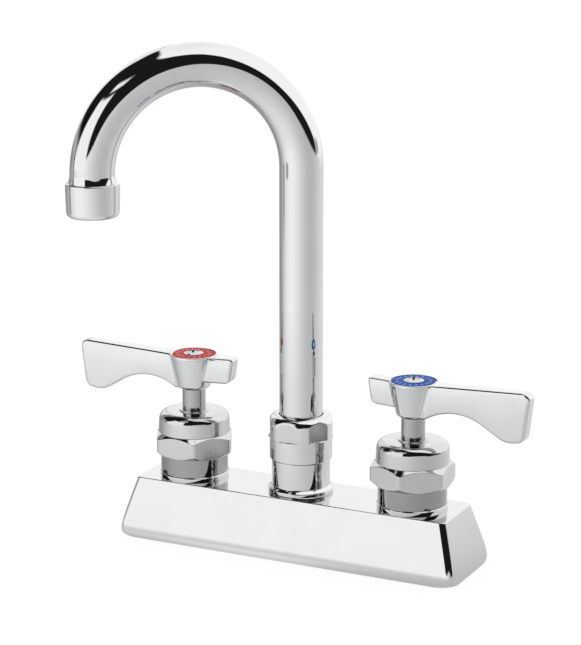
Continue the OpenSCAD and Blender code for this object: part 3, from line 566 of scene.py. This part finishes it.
class FAUCET_OT_finishes(bpy.types.Operator):
    """Make every finish and put it on the frame's own pieces"""
    bl_idname = "faucet.finishes"
    bl_label = "Finishes"

    def execute(self, context):
        FINISHES.update(make_finishes())
        for row in frame["record"]["subparts"]:
            node = frame["nodes"][row["node"]]
            node.data.materials.clear()
            node.data.materials.append(FINISHES[row["material_slot"]])
        return {"FINISHED"}


# The casting and the bonnets, with their sections in millimetres


def base_rings(s):
    """Rings of the base: its inner top and foot, then round the foot's edge and up to the top.

    A wall's share of its lean at height z is (z - turn * (1 - e^-(z / turn))) / (height - turn), so
    it stands nearly upright at the foot. The corners narrow above the foot with e^-(z / corner_turn).
    """
    def outline(z, inset):
        foot = math.exp(-z / s.foot_turn)
        share = (z - s.foot_turn * (1 - foot)) / (s.height - s.foot_turn)
        corner = mix(s.top_corner, s.foot_corner, math.exp(-z / s.corner_turn)) - inset
        half_x = s.half_length - s.lean * share - inset
        half_y = s.half_width - mix(s.foot_inset, s.lean, share) - inset
        return at_height(rounded_rectangle(half_x, half_y, corner + s.corner_skew * (1 - foot), corner), z)

    edge_height, edge_inset, wall_start, wall_end = 0.9 * MM, 0.6 * MM, 1.2 * MM, s.height - 3 * MM
    quarter = np.radians(np.linspace(0, 90, 9))
    rings = [outline(s.height - s.wall, s.wall), outline(0, s.wall)]
    rings += [outline(edge_height * (1 - math.cos(a)), edge_inset * (1 - math.sin(a))) for a in quarter]
    rings += [outline(z, 0) for z in np.geomspace(wall_start, wall_end, 26)]
    rings += [outline(s.height - s.top_edge * (1 - math.sin(a)), s.top_edge * (1 - math.cos(a)))
              for a in quarter]
    return rings


def collar_profile(s, collar_top):
    """Section of a valve's seat: a post in the base, the collar with its bead, the neck, the bores."""
    collar, base_top = s.collar_radius / MM, s.height / MM
    shank_bore, post, neck, housing_bore, chamber, port = 10.525, 13.4, 12.9, 9.55, 11, 6.5
    shank_end, chamber_foot, housing_foot, neck_top = 10, 12.5, 27, 43.5
    bead = collar + 0.4
    return rounded([
        (shank_bore, 0.2, 0), (post, 1.6, 0), (post, base_top - 1, 0), (collar, base_top - 0.9, 0),
        (bead, base_top + 0.02, 0), (bead, base_top + 1.9, 0.35), (collar, base_top + 2.3, 0.4),
        (collar, collar_top, 0.25), (neck, collar_top, 0), (neck, neck_top, 0.3), (housing_bore, neck_top, 0),
        (housing_bore, housing_foot, 0), (chamber, housing_foot, 0), (chamber, chamber_foot, 0),
        (port, chamber_foot, 0), (port, shank_end, 0), (shank_bore, shank_end, 0)])


def boss_profile(s):
    """Section of the spout's boss: a root in the base, a rounded bead, the boss, its thread, the bore."""
    boss, base_top = s.boss_radius / MM, s.height / MM
    bore, root, thread, bead = 8.05, 13.2, 11.6, boss + 1.45
    under, floor, boss_top, thread_top = 9, 12, 39.8, 50
    return rounded([
        (bore, floor, 0), (0.5, floor, 0), (0.5, under, 0), (root, under, 0), (root, base_top - 1, 0),
        (boss + 0.8, base_top - 0.9, 0), (boss + 1.1, base_top + 0.1, 0), (bead, base_top + 0.6, 0.3),
        (bead, base_top + 1.9, 0.6), (boss + 0.5, base_top + 2.7, 0.5), (boss, base_top + 3.2, 0.5),
        (boss, boss_top, 0.25), (thread, boss_top, 0), (thread, thread_top, 0.3), (bore, thread_top, 0)])


class FAUCET_OT_casting(bpy.types.Operator):
    """Build the base with its valve collars and the spout's boss"""
    bl_idname = "faucet.casting"
    bl_label = "Casting"

    def execute(self, context):
        s = sizes("base")
        collar = collar_profile(s, sizes("bonnet").foot / MM)
        parts = [lofted(base_rings(s))]
        parts += [turned(collar, (side * s.valve_x, 0)) for side in VALVES.values()]
        parts.append(turned(boss_profile(s)))
        bead_top = s.height + 2.2 * MM

        def on_collar(p):
            away = np.hypot(np.abs(p[:, 0]) - s.valve_x, p[:, 1])
            return (away < s.collar_radius + 0.1 * MM) & (p[:, 2] > bead_top)

        add_piece("casting", parts, "faucet_body", ["body_casting"], FINISHES["chrome"],
                  (FINISHES["collar"], on_collar))
        return {"FINISHED"}


def bonnet_profile(s):
    """Section of a bonnet: the thread's bore, the chamfered hexagon, the dome, its lip, the bores."""
    foot, hex_top, top = s.foot / MM, s.hex_top / MM, s.top / MM
    corner, flat = s.corner_radius / MM, s.flats / 2 / MM
    thread_bore, thread_top, housing_bore, lip, stem_bore = 12.97, 46.8, 8.3, 6.3, s.stem / MM + 0.05
    lip_top, ceiling, chamfer = top + 0.6, top - 2.9, 2
    rise = np.linspace(0, 1, 22)
    low = [(mix(flat - 0.2, corner, t), foot + chamfer * t, 0) for t in rise]
    side = [(corner, z, 0) for z in np.linspace(foot + chamfer, hex_top - chamfer, 20)[1:-1]]
    high = [(mix(corner, flat - 0.6, t), hex_top - chamfer + chamfer * t, 0) for t in rise]
    return rounded(
        [(thread_bore, foot, 0.2)] + low + side + high +
        [(s.dome_foot / MM, hex_top, 0.15), (s.dome_top / MM, top, s.shoulder / MM), (lip, top, 0.25),
         (lip, lip_top, 0.2), (stem_bore, lip_top, 0.1), (stem_bore, ceiling, 0), (housing_bore, ceiling, 0),
         (housing_bore, thread_top, 0), (thread_bore, thread_top, 0)], steps=14)


class FAUCET_OT_bonnets(bpy.types.Operator):
    """Build both bonnets: a chamfered hexagon below a dome with a lip round the stem"""
    bl_idname = "faucet.bonnets"
    bl_label = "Bonnets"

    def execute(self, context):
        s = sizes("bonnet")
        for name, side in VALVES.items():
            turn = s.hot_turn if side < 0 else s.cold_turn
            centre = (side * sizes("base").valve_x, 0)
            shape = polygon_flats(s.flats, turn, s.foot - 0.1 * MM, s.hex_top + 0.02 * MM)
            shell = turned(bonnet_profile(s), centre, 720, shape)
            add_piece(name + "_bonnet_shell", [shell], "faucet_body", [name + "_bonnet"],
                      FINISHES["bonnet"],
                      (FINISHES["satin"], on_flats(s.flats, turn, centre, s.foot, s.hex_top)))
        return {"FINISHED"}


# The levers


def lever_side(s):
    """Side view of the lever: its lower line and its top line, both from the hub to mid end.

    Below, the root swings up into a waist, runs down along a long S to the heel and turns up round
    the foot. Above, a straight ridge climbs gently and turns down round the tip.
    """
    start, root_end, tip, ridge = 3.0, 7.0, s.lever / MM, (s.hub_foot + s.hub_height) / MM - 0.6
    climb, depth, rounding = 2.6, 21.4, 3.7
    waist_out, waist_deep, waist_run, root_drop = 10.5, 11.2, 6, 4
    heel_back, foot_back, foot_rise, foot_pull = 8.8, 1.7, 4, 0.4

    def top_at(x):
        return ridge + climb * x / tip

    lowest = top_at(tip) - depth
    waist_x = s.rim / MM + waist_out
    waist = top_at(waist_x) - waist_deep
    root, heel, foot, ridge_end = waist - root_drop, tip - heel_back, tip - foot_back, tip - rounding
    bend = 0.35 * rounding
    low = np.concatenate([
        [[start, root], [root_end, root]],
        cubic([(root_end, root), (mix(root_end, waist_x, 0.26), mix(root, waist, 0.55)),
               (waist_x - waist_run, waist), (waist_x, waist)], 40),
        cubic([(waist_x, waist), (mix(waist_x, heel, 0.5), waist),
               (mix(waist_x, heel, 0.74), lowest), (heel, lowest)], 60),
        cubic([(heel, lowest), (mix(foot, heel, 0.3), lowest),
               (foot - foot_pull, lowest + 0.22 * foot_rise), (foot, lowest + foot_rise)], 40),
        [[mix(foot, tip, 0.5), mix(lowest + foot_rise, top_at(tip) - rounding, 0.5)]]])
    high = np.concatenate([
        [[start, top_at(start)], [ridge_end, top_at(ridge_end)]],
        cubic([(ridge_end, top_at(ridge_end)), (tip - bend, top_at(tip - bend)),
               (tip, top_at(tip) - bend), (tip, top_at(tip) - rounding)], 40),
        low[-1:]])
    return low * MM, high * MM


def short_side(s):
    """Side view of the short arm behind the hub, in the same two lines."""
    start, end, top = 3.0, s.stub / MM, (s.hub_foot + s.hub_height) / MM - 0.4
    depth, middle_depth, lean, heel, tip, pull = 11, 4.4, 1, 3.3, 1.2, 0.45
    bottom, foot = top - depth, end - lean
    middle = [[(foot + end) / 2, top - middle_depth]]
    low = np.concatenate([
        [[start, bottom], [foot - heel, bottom]],
        cubic([(foot - heel, bottom), (foot - pull * heel, bottom),
               (foot, bottom + pull * heel), (foot, bottom + heel)], 30), middle])
    high = np.concatenate([
        [[start, top], [end - tip, top]],
        cubic([(end - tip, top), (end - pull * tip, top), (end, top - pull * tip), (end, top - tip)], 20),
        middle])
    return low * MM, high * MM


def stations(low, high, split, near, far):
    """Both lines of a side view at the same number of points.

    Up to the distance split the points of the two lines stand above each other. Beyond it each
    line is divided evenly along its own length, so that both turn the corners in step.
    """
    def walk(line):
        run = np.concatenate([[0], np.cumsum(np.linalg.norm(np.diff(line, axis=0), axis=1))])
        out = np.maximum.accumulate(line[:, 0])
        rest = np.linspace(np.interp(split, out, run), run[-1], far)
        upto = np.stack([near, np.interp(near, out, line[:, 1])], 1)
        beyond = np.stack([np.interp(rest, run, line[:, 0]), np.interp(rest, run, line[:, 1])], 1)
        return np.concatenate([upto[near < split], beyond])
    return walk(low), walk(high)


def blade(lines, s, reach, end_thickness):
    """An upright blade: its side view carried across, with rounded edges and a fillet at the hub.

    Across the blade the side view is drawn in by edge * (1 - cos a) while it goes out by
    edge * sin a, so each edge is a quarter circle. The half thickness falls evenly from the axis
    to the end, and grows towards the hub by spread * e^-(way beyond the hub / fade). Between the
    edges the face swells by crown * (1 - v^2), with v from -1 to 1. The fillet leaves the blade's
    side at the distance where a circle of its radius touches both that side and the hub, and grows
    there by radius - sqrt(radius^2 - back^2), with back the way towards the hub.
    """
    low, high = lines
    loop = np.concatenate([low, high[::-1][1:]])
    step = np.zeros_like(loop)
    ahead = np.diff(loop, axis=0)
    ahead /= np.linalg.norm(ahead, axis=1)[:, None]
    step[:-1] += ahead
    step[1:] += ahead
    step /= np.linalg.norm(step, axis=1)[:, None]
    inward = np.column_stack([-step[:, 1], step[:, 0]])
    hub_side, fade = 9 * MM, 3.2 * MM

    def half(x):
        spread = s.spread * np.exp(-np.clip(x - hub_side, 0, None) / fade)
        return mix(s.hub_thickness, end_thickness, x / reach) / 2 + spread

    def fillet(x, z):
        lip_foot, waist_height = s.hub_foot + s.hub_height - s.lip_height, s.hub_foot + s.foot_round
        below = np.clip(waist_height - z, 0, s.foot_round)
        hub = np.interp(z, [waist_height, lip_foot, lip_foot + s.lip], [s.waist, s.rim - s.lip, s.rim])
        hub = hub - s.foot_round + np.sqrt(s.foot_round ** 2 - below ** 2)
        leaves = np.sqrt((hub + s.fillet) ** 2 - (half(x) + s.fillet) ** 2)
        back = np.clip(leaves - x, 0, s.fillet * 0.98)
        return s.fillet - np.sqrt(s.fillet ** 2 - back ** 2)

    def point(side_view, sign, short_of, swell=0.0):
        x, z = side_view[..., 0], side_view[..., 1]
        return np.stack([x, sign * (half(x) - short_of + swell + fillet(x, z)), z], -1)

    def edge_row(a, sign):
        return point(loop + inward * s.edge * (1 - math.cos(a)), sign, s.edge * (1 - math.sin(a)))

    quarter = np.linspace(0, math.pi / 2, 9)
    rows = np.array([edge_row(a, 1) for a in quarter[::-1]] + [edge_row(a, -1) for a in quarter])
    parts = [grid(rows, False, False)]
    inset = loop + inward * s.edge
    under, over = inset[:len(low)], inset[len(low) - 1:][::-1]
    t = np.linspace(0, 1, 25)[:, None, None]
    sheet = under[None] * (1 - t) + over[None] * t
    swell = s.crown * (1 - (2 * t[..., 0] - 1) ** 2)
    right, left = point(sheet, 1, 0, swell), point(sheet, -1, 0, swell)
    parts += [grid(right, False, False), grid(left[::-1], False, False)]
    cap = np.concatenate([rows[:, 0], left[1:-1, 0], rows[::-1, -1], right[1:-1, 0][::-1]])
    parts.append((cap, [tuple(range(len(cap)))]))
    return parts


def turned_about(parts, angle, centre):
    """Parts drawn along +X, turned about the upright axis and carried to a centre."""
    c, n = math.cos(angle), math.sin(angle)
    turn = np.array([[c, n, 0], [-n, c, 0], [0, 0, 1]])
    return [(p @ turn + np.array([centre[0], centre[1], 0]), f) for p, f in parts]


def hub_profile(s):
    """Section of a hub, in millimetres: rounded foot, leaning side, lip, and the index ring's recess."""
    foot, top = s.hub_foot / MM, (s.hub_foot + s.hub_height) / MM
    waist, turn = s.waist / MM, s.foot_round / MM
    rim, side, lip_foot = s.rim / MM, (s.rim - s.lip) / MM, top - s.lip_height / MM
    core, recess, floor, lip_edge = 3, 9.54, top - 1.25, 0.12
    slope = (side - waist) / (lip_foot - foot - turn)
    return rounded([
        (core, foot, 0), (waist - turn * slope, foot, turn), (side, lip_foot, lip_edge),
        (rim, lip_foot + lip_edge, 0.1), (rim, top, 0.3), (recess, top, lip_edge), (recess, floor, 0),
        (core, floor, 0)], steps=12)


class FAUCET_OT_handles(bpy.types.Operator):
    """Build both lever handles"""
    bl_idname = "faucet.handles"
    bl_label = "Handles"

    def execute(self, context):
        s = sizes("handle")
        near_hub, along, near_stub = np.arange(3, 12, 0.25), np.arange(12, 46, 0.6), np.arange(3, 13.4, 0.25)
        lever = stations(*lever_side(s), 46 * MM, np.concatenate([near_hub, along]) * MM, 56)
        short = stations(*short_side(s), 13.5 * MM, near_stub * MM, 40)
        parts = [turned(hub_profile(s), steps=200)] + blade(lever, s, s.lever, s.tip_thickness)
        parts += turned_about(blade(short, s, s.stub, s.stub_thickness), math.pi, (0, 0))
        for name, side in VALVES.items():
            angle = math.pi + s.turn if side < 0 else -s.turn
            placed_parts = turned_about(parts, angle, (side * sizes("base").valve_x, 0))
            add_piece(name + "_lever_shell", placed_parts, name + "_lever", [name + "_handle"],
                      FINISHES["chrome"])
        return {"FINISHED"}


# The spout


def tube_skin(s, out):
    """The bent tube: rings round its centre line, up the outside and back down the inside.

    The line climbs from the foot, goes half round the arc in the direction out and comes down to
    the end. Above the aerator the outside flares by flare * t^1.5, with t from 0 at the flare's top
    to 1 at the sleeve, where it steps back to go into the sleeve.
    """
    up, across = np.array([0, 0, 1.0]), np.array([-out[1], out[0], 0])
    turn = np.linspace(0, math.pi, 181)[:, None]
    arc = out * (s.arc - s.arc * np.cos(turn)) + up * (s.arc_centre + s.arc * np.sin(turn))
    heading = out * np.sin(turn) + up * np.cos(turn)
    flare, flare_top, sleeve_top = 0.6 * MM, s.arc_centre + 0.7 * MM, s.outlet + 13.72 * MM
    down = s.arc_centre - np.array([0.5, 1, 1.5, 1.9, 2.25, 2.5]) * MM
    down = np.concatenate([down, [sleeve_top, sleeve_top, s.tube_end]])
    path = np.concatenate([[up * s.tube_foot], arc, out * 2 * s.arc + up * down[:, None]])
    heading = np.concatenate([[up], heading, np.repeat([-up], len(down), 0)])
    widened = np.zeros(len(path))
    end = slice(len(path) - len(down) - 1, len(path) - 2)
    widened[end] = flare * np.clip((flare_top - path[end, 2]) / (flare_top - sleeve_top), 0, 1) ** 1.5
    a = np.linspace(0, 2 * math.pi, 128, endpoint=False)[:, None]
    ring = across * np.cos(a) - np.cross(heading, across)[:, None] * np.sin(a)

    def skin(radius):
        return path[:, None] + np.reshape(radius, (-1, 1, 1)) * ring

    return grid(np.concatenate([skin(s.tube + widened), skin(s.tube - s.tube_wall)[::-1]]))


def nut_profile(s):
    """Section of the nut, in millimetres: skirt, wider part for the flats, round shoulder, bores."""
    foot, top, skirt, wide = s.nut_foot / MM, s.nut_top / MM, s.nut_skirt / MM, s.nut / MM
    thread_bore, thread_top, washer_bore, ceiling, tube_bore = 11.65, 50.5, 11, 58, 9.3
    ledge, shoulder = foot + s.nut_ledge / MM, 3.9
    quarter = np.radians(np.linspace(0, 90, 15))
    return rounded(
        [(thread_bore, foot, 0.1), (skirt, foot, 0.4), (skirt, ledge, 0.05), (wide, ledge, 0.15)] +
        [(wide, ledge + v, 0) for v in np.linspace(0.22, 5.8, 32)] +
        [(wide - shoulder * (1 - math.cos(v)), top - shoulder * (1 - math.sin(v)), 0) for v in quarter] +
        [(tube_bore, top, 0.25), (tube_bore, ceiling, 0), (washer_bore, ceiling, 0),
         (washer_bore, thread_top, 0), (thread_bore, thread_top, 0)])


def aerator_profile(s):
    """Section of the aerator's sleeve, in millimetres: mouth, rounded foot, bulging side, bore."""
    outlet, wide = s.outlet / MM, s.aerator / MM
    mouth, bore, floor, bulge, top = 7.9, 9.05, outlet + 1.6, outlet + 10.7, outlet + 13.7
    return rounded([(mouth, outlet, 0.3), (wide - 0.25, outlet, 2.3), (wide, bulge, 4), (wide, top, 0.5),
                    (bore, top, 0.15), (bore, floor, 0), (mouth, floor, 0)], steps=12)


class FAUCET_OT_spout(bpy.types.Operator):
    """Build the spout's tube, its nut and the aerator's housing"""
    bl_idname = "faucet.spout"
    bl_label = "Spout"

    def execute(self, context):
        s = sizes("spout")
        out = np.array([math.cos(s.direction), math.sin(s.direction), 0])
        add_piece("spout_pipe", [tube_skin(s, out)], "spout", ["spout_tube"], FINISHES["chrome"])
        flats_start, flats_end = s.nut_foot + s.nut_ledge + 0.15 * MM, s.nut_top - 1.2 * MM
        shape = polygon_flats(s.nut_flats, 0, flats_start, flats_end, 0.08 * MM)
        nut = turned(nut_profile(s), steps=720, reshape=shape)
        add_piece("spout_nut_shell", [nut], "faucet_body", ["spout_nut"], FINISHES["chrome"],
                  (FINISHES["satin"], on_flats(s.nut_flats, 0, (0, 0), flats_start, s.nut_top)))
        sleeve = turned(aerator_profile(s), (out * 2 * s.arc)[:2])
        add_piece("aerator_sleeve", [sleeve], "spout", ["aerator_housing"], FINISHES["chrome"])
        return {"FINISHED"}


# The studio, with directions in degrees from the camera's side, positive to the camera's right


CAMERA_PLACE = (0.386107, -0.790982, 0.308452)
CAMERA_TILT, CAMERA_TURN = 76.535, 26.304
CAMERA_SIDE = -63.98  # the camera's direction seen from the faucet, counted from +X

# Corners of the black cloth's upper and lower edge, as azimuth and elevation
CLOTH_TOP = ((-172, 20), (-160, 42), (-150, 60), (-135, 72), (-115, 77), (-90, 79), (-60, 78), (-35, 75),
             (-10, 70), (10, 66), (25, 62), (38, 57), (48, 48), (58, 33), (66, 21), (80, 12), (94, 3))
CLOTH_FOOT = ((-36, 1.5), (-24, 2.5), (-10, 4), (2, 9), (18, 11), (36, 8), (45, 0), (95, -3))

# Painted brightness of the wall's parts, before lift: the wall glows with it in reflections
WHITE_WALL, BLACK_CLOTH, WINDOW, LIT_CLOTH, BACK_STRIP, FAR_EDGE = 0.99, 0.010, 0.97, 0.42, 0.90, 0.40


def rises(x, low, high):
    """0 below low, 1 above high, and 3t^2 - 2t^3 between."""
    t = np.clip((x - low) / (high - low), 0, 1)
    return t * t * (3 - 2 * t)


def falls(x, low, high):
    """1 below low and 0 above high."""
    return 1 - rises(x, low, high)


def lobe(azimuth, middle, width):
    """A soft patch for painted light and painted shade: 1 in its middle, falling off as e^-(angle / width)^2.
    """
    return np.exp(-(((azimuth - middle + 180) % 360 - 180) / width) ** 2)


def painted_table_shading(azimuth, near=0.0):
    """Painted light and shade of the table top by direction: bright in front on the left, dark behind on the
    left.

    near is 0 for the far table and 1 right by the faucet, where the directions differ less and the
    table is painted mostly darker, as shade round the faucet.
    """
    # Painted light and shade: a bright lobe in front on the left, dark lobes behind on the left and on the
    # right.
    bright, dark, side = lobe(azimuth, -55, 47), lobe(azimuth, -138, 41), lobe(azimuth, 48, 58)
    far = 0.80 + 0.205 * bright - 0.55 * dark - 0.30 * side
    close = 0.72 - 0.03 * bright - 0.40 * dark - 0.21 * side
    return mix(far, close, near)


def lift(azimuth, elevation=-14):
    """How much brighter than white the studio is, to make up for what the plating swallows.

    Behind the faucet it is less: level tops mirror that wall at a low angle, and low down there
    the rims of round pieces mirror it fully.
    """
    front = falls(np.abs(azimuth), 115, 185)
    return 1 + 0.39 * front + 0.27 * (1 - front) * rises(elevation, -6, 12)


def painted_dark_strip(azimuth, share):
    """A narrow painted dark strip far behind on the left, in the deck's and the wall's glow, which draws a
    thin dark line on round chrome.
    """
    return 1 - 0.92 * lobe(azimuth, -103, 3.6) * share


def deck_shade(azimuth, away):
    """Painted brightness of the deck in reflections, by direction from the camera's side and distance."""
    # Painted shade: near is 1 by the faucet, where the table is painted mostly darker.
    near = 1 - np.clip((away - 0.09) / 0.35, 0, 1) ** 0.7
    # Painted light: a brighter patch on the far table, on the right behind the faucet.
    patch = 0.16 * lobe(azimuth, 132, 22) * rises(away, 0.95, 1.3)
    return lift(azimuth) * (painted_table_shading(azimuth, near) + patch) * painted_dark_strip(azimuth, rises(away, 0.60, 0.80))


def studio_shade(azimuth, elevation):
    """Painted brightness of the studio's wall by direction and height, in degrees; the wall glows
    with it and so stands in for the studio's light and shade in reflections.

    A black cloth hangs round the camera's side, between a lower and an upper edge that are straight
    between a few listed corners. A window of white light is cut into it on the left, its left edge
    leaning, with a small slot above it. The cloth's left part is painted lit at its foot, and its end
    behind is painted as a pale strip. Below the cloth the wall goes on in the table's painted light and
    shade, and on the far right the table's edge shows as a painted grey patch.
    """
    high, low = np.interp(azimuth, *zip(*CLOTH_TOP)), np.interp(azimuth, *zip(*CLOTH_FOOT))
    in_front = falls(azimuth, 88, 100)
    cloth = falls(elevation - high, -2, 2) * rises(elevation - low, -1, 1) * in_front
    cloth = cloth * rises(azimuth, -174, -164)
    left = np.interp(elevation, [0, 30], [-98, -80])
    window = rises(azimuth - left, -3, 3) * falls(azimuth, -37, -32) * falls(elevation, 37, 41)
    slot = rises(azimuth, -64, -56) * falls(azimuth, -34, -22)
    slot = slot * rises(elevation, 42, 46) * falls(elevation, 48, 54)
    # Painted light: the cloth's left part glows brighter at its foot, its end behind glows as a pale strip,
    # and a grey band lies at the far right horizon.
    lit = cloth * falls(azimuth, -100, -92) * falls(elevation, 6, 16)
    strip = cloth * falls(azimuth, -146, -138) * falls(elevation, 42, 50)
    edge = rises(azimuth, 86, 98) * falls(azimuth, 108, 116) * falls(np.abs(elevation - 1), 1, 5)
    painted_table = painted_table_shading(azimuth)
    shade = mix(WHITE_WALL, painted_table, falls(elevation - low, 0, 2) * in_front)
    shade = mix(shade, BLACK_CLOTH, cloth)
    shade = mix(shade, WINDOW, np.maximum(window, slot))
    shade = mix(shade, np.maximum(painted_table, LIT_CLOTH), lit)
    shade = mix(shade, BACK_STRIP, strip)
    shade = mix(shade, FAR_EDGE, edge)
    return lift(azimuth, elevation) * shade * painted_dark_strip(azimuth, falls(elevation, 28, 34))


def glowing(name, finish, points, faces, brightness):
    """A piece of the studio that keeps its brightness at each point, as a glow of its material."""
    mesh = bpy.data.meshes.new(name)
    mesh.from_pydata(points.reshape(-1, 3), [], faces)
    shade = mesh.attributes.new("shade", "FLOAT", "POINT")
    shade.data.foreach_set("value", brightness.reshape(-1).astype(np.float32))
    material = bpy.data.materials.new(finish)
    material.use_nodes = True
    mesh.materials.append(material)
    tree = material.node_tree
    tree.nodes.remove(tree.nodes["Principled BSDF"])
    value = add_node(tree, "Attribute", {}, "Fac", attribute_name="shade")
    piece = bpy.data.objects.new(name, mesh)
    bpy.context.scene.collection.objects.link(piece)
    return piece, tree, add_node(tree, "Emission", {"Strength": value})


class FAUCET_OT_studio(bpy.types.Operator):
    """Set up the deck, the studio's wall, soft light and the camera"""
    bl_idname = "faucet.studio"
    bl_label = "Studio"

    def execute(self, context):
        s = sizes("studio")
        scene = context.scene
        self.world(scene)
        self.deck(sizes("base"))
        self.wall(s.wall_radius)
        self.lamp("soft key", place=(-0.55, -0.75, 0.9), target=(0, 0, 0.08), size=0.9, power=2.6)
        self.lamp("soft top", place=(0.1, 0.25, 1.2), target=(0, 0, 0.1), size=1.0, power=2.4)
        camera = bpy.data.cameras.new("camera")
        camera.lens = s.lens
        camera.sensor_width = 36
        camera.clip_start = 0.01
        seen = bpy.data.objects.new("camera", camera)
        seen.location = CAMERA_PLACE
        seen.rotation_euler = (math.radians(CAMERA_TILT), 0, math.radians(CAMERA_TURN))
        scene.collection.objects.link(seen)
        scene.camera = seen
        scene.view_settings.view_transform = "Standard"
        return {"FINISHED"}

    @staticmethod
    def lamp(name, place, target, size, power):
        """A round soft lamp that shines on the target and shows in no reflection."""
        light = bpy.data.lights.new(name, "AREA")
        light.shape = "DISK"
        light.size = size
        light.energy = power
        lamp = bpy.data.objects.new(name, light)
        lamp.location = place
        lamp.rotation_euler = (Vector(target) - Vector(place)).to_track_quat("-Z", "Y").to_euler()
        lamp.visible_glossy = False
        bpy.context.scene.collection.objects.link(lamp)

    @staticmethod
    def world(scene):
        """A white background: fully white to the eye and in reflections, a little less as light."""
        world = bpy.data.worlds.new("studio")
        scene.world = world
        world.use_nodes = True
        tree = world.node_tree
        path = tree.nodes.new("ShaderNodeLightPath").outputs
        seen = math_node(tree, "MAXIMUM", path["Is Camera Ray"], path["Is Glossy Ray"])
        seen = math_node(tree, "MAXIMUM", seen, path["Is Transmission Ray"])
        feed(tree, tree.nodes["Background"], {"Color": (1, 1, 1, 1),
                                              "Strength": math_node(tree, "MULTIPLY_ADD", seen, 0.15, 0.85)})

    @staticmethod
    def deck(base):
        """A round pale deck. The camera sees it nearly white with the soft shadow on it.

        In reflections its brightness follows deck_shade, painted light and shade with a part of the real
        light in it. The
        3 cm in front of the base are painted a little brighter; only the foot of the base mirrors those.
        """
        away = np.concatenate([[0.004], np.geomspace(0.018, 0.14, 36), np.geomspace(0.15, 2.3, 34)])
        far, turn = np.meshgrid(away, np.linspace(0, 2 * math.pi, 144, endpoint=False), indexing="ij")
        points = np.stack([far * np.cos(turn), far * np.sin(turn), np.full(far.shape, -0.3 * MM)], -1)
        faces = [tuple(f[::-1]) for f in quads(*far.shape, close_rows=False)]
        faces.append(tuple(range(far.shape[1])))
        azimuth = (np.degrees(turn) - CAMERA_SIDE + 180) % 360 - 180
        beyond = np.abs(points[..., :2]) - (base.half_length, base.half_width)
        gap = np.linalg.norm(np.clip(beyond, 0, None), axis=-1)
        # Painted light: a band 1 to 3 cm from the base, on the camera's left and front, glows up to 22 %
        # brighter in reflections.
        in_front = rises(gap, 0.001, 0.012) * falls(gap, 0.02, 0.034) * lobe(azimuth, -60, 70)
        brightness = deck_shade(azimuth, far) * (1 + 0.22 * in_front)
        deck, tree, painted_glow = glowing("deck", "pale deck", points, faces, brightness)
        path = tree.nodes.new("ShaderNodeLightPath").outputs
        below = add_node(tree, "NewGeometry", {}, "Backfacing")
        diffuse = add_node(tree, "BsdfDiffuse", {"Color": (0.9, 0.9, 0.9, 1)})
        plain = add_node(tree, "Emission", {"Strength": 1.03})
        clear = add_node(tree, "BsdfTransparent", {})

        def mixed(factor, a, b):
            return add_node(tree, "MixShader", {0: factor, 1: a, 2: b})

        seen = mixed(math_node(tree, "MULTIPLY", path["Is Camera Ray"], 0.86), diffuse, plain)
        # Reflections see nine tenths painted glow and one tenth of the deck as really lit.
        mirrored = mixed(math_node(tree, "MULTIPLY", path["Is Glossy Ray"], 0.9), seen, painted_glow)
        feed(tree, tree.nodes["Material Output"], {"Surface": mixed(below, mirrored, clear)})

    @staticmethod
    def wall(radius):
        """The studio's wall: a glowing dome whose painted brightness is a function of azimuth and elevation.
        """
        azimuth, elevation = np.meshgrid(np.linspace(-180, 180, 361), np.linspace(-4, 89, 187))
        direction, up, centre_height = np.radians(azimuth + CAMERA_SIDE), np.radians(elevation), 0.12
        points = np.stack([radius * np.cos(up) * np.cos(direction), radius * np.cos(up) * np.sin(direction),
                           centre_height + radius * np.sin(up)], -1)
        faces = [tuple(f) for f in quads(*azimuth.shape, False, False)]
        brightness = studio_shade(azimuth, elevation)
        wall, tree, glow = glowing("studio wall", "painted studio glow", points, faces, brightness)
        wall.visible_camera = wall.visible_diffuse = wall.visible_shadow = False
        feed(tree, tree.nodes["Material Output"], {"Surface": glow})


STEPS = (FAUCET_OT_finishes, FAUCET_OT_casting, FAUCET_OT_bonnets, FAUCET_OT_handles, FAUCET_OT_spout,
         FAUCET_OT_studio)
GROUPS = {"base": BaseSizes, "bonnet": BonnetSizes, "handle": HandleSizes, "spout": SpoutSizes,
          "colours": FinishColours, "studio": StudioSizes}


class FAUCET_PT_sidebar(bpy.types.Panel):
    """Lists the steps that build the faucet, and its sizes"""
    bl_label = "Gooseneck Faucet"
    bl_space_type = "VIEW_3D"
    bl_region_type = "UI"
    bl_category = "Faucet"

    def draw(self, context):
        for step in STEPS:
            self.layout.operator(step.bl_idname)
        for name in GROUPS:
            box = self.layout.box()
            box.label(text=name.capitalize())
            group = sizes(name)
            for key in group.bl_rna.properties.keys():
                if key not in ("rna_type", "name"):
                    box.prop(group, key)


def register():
    for name, group in GROUPS.items():
        bpy.utils.register_class(group)
        setattr(bpy.types.Scene, "faucet_" + name, PointerProperty(type=group))
    for step in STEPS:
        bpy.utils.register_class(step)
    bpy.utils.register_class(FAUCET_PT_sidebar)


def unregister():
    bpy.utils.unregister_class(FAUCET_PT_sidebar)
    for step in reversed(STEPS):
        bpy.utils.unregister_class(step)
    for name, group in reversed(GROUPS.items()):
        delattr(bpy.types.Scene, "faucet_" + name)
        bpy.utils.unregister_class(group)


def main():
    register()
    bpy.ops.faucet.finishes()
    bpy.ops.faucet.casting()
    bpy.ops.faucet.bonnets()
    bpy.ops.faucet.handles()
    bpy.ops.faucet.spout()
    bpy.ops.faucet.studio()


if __name__ == "__main__":
    main()
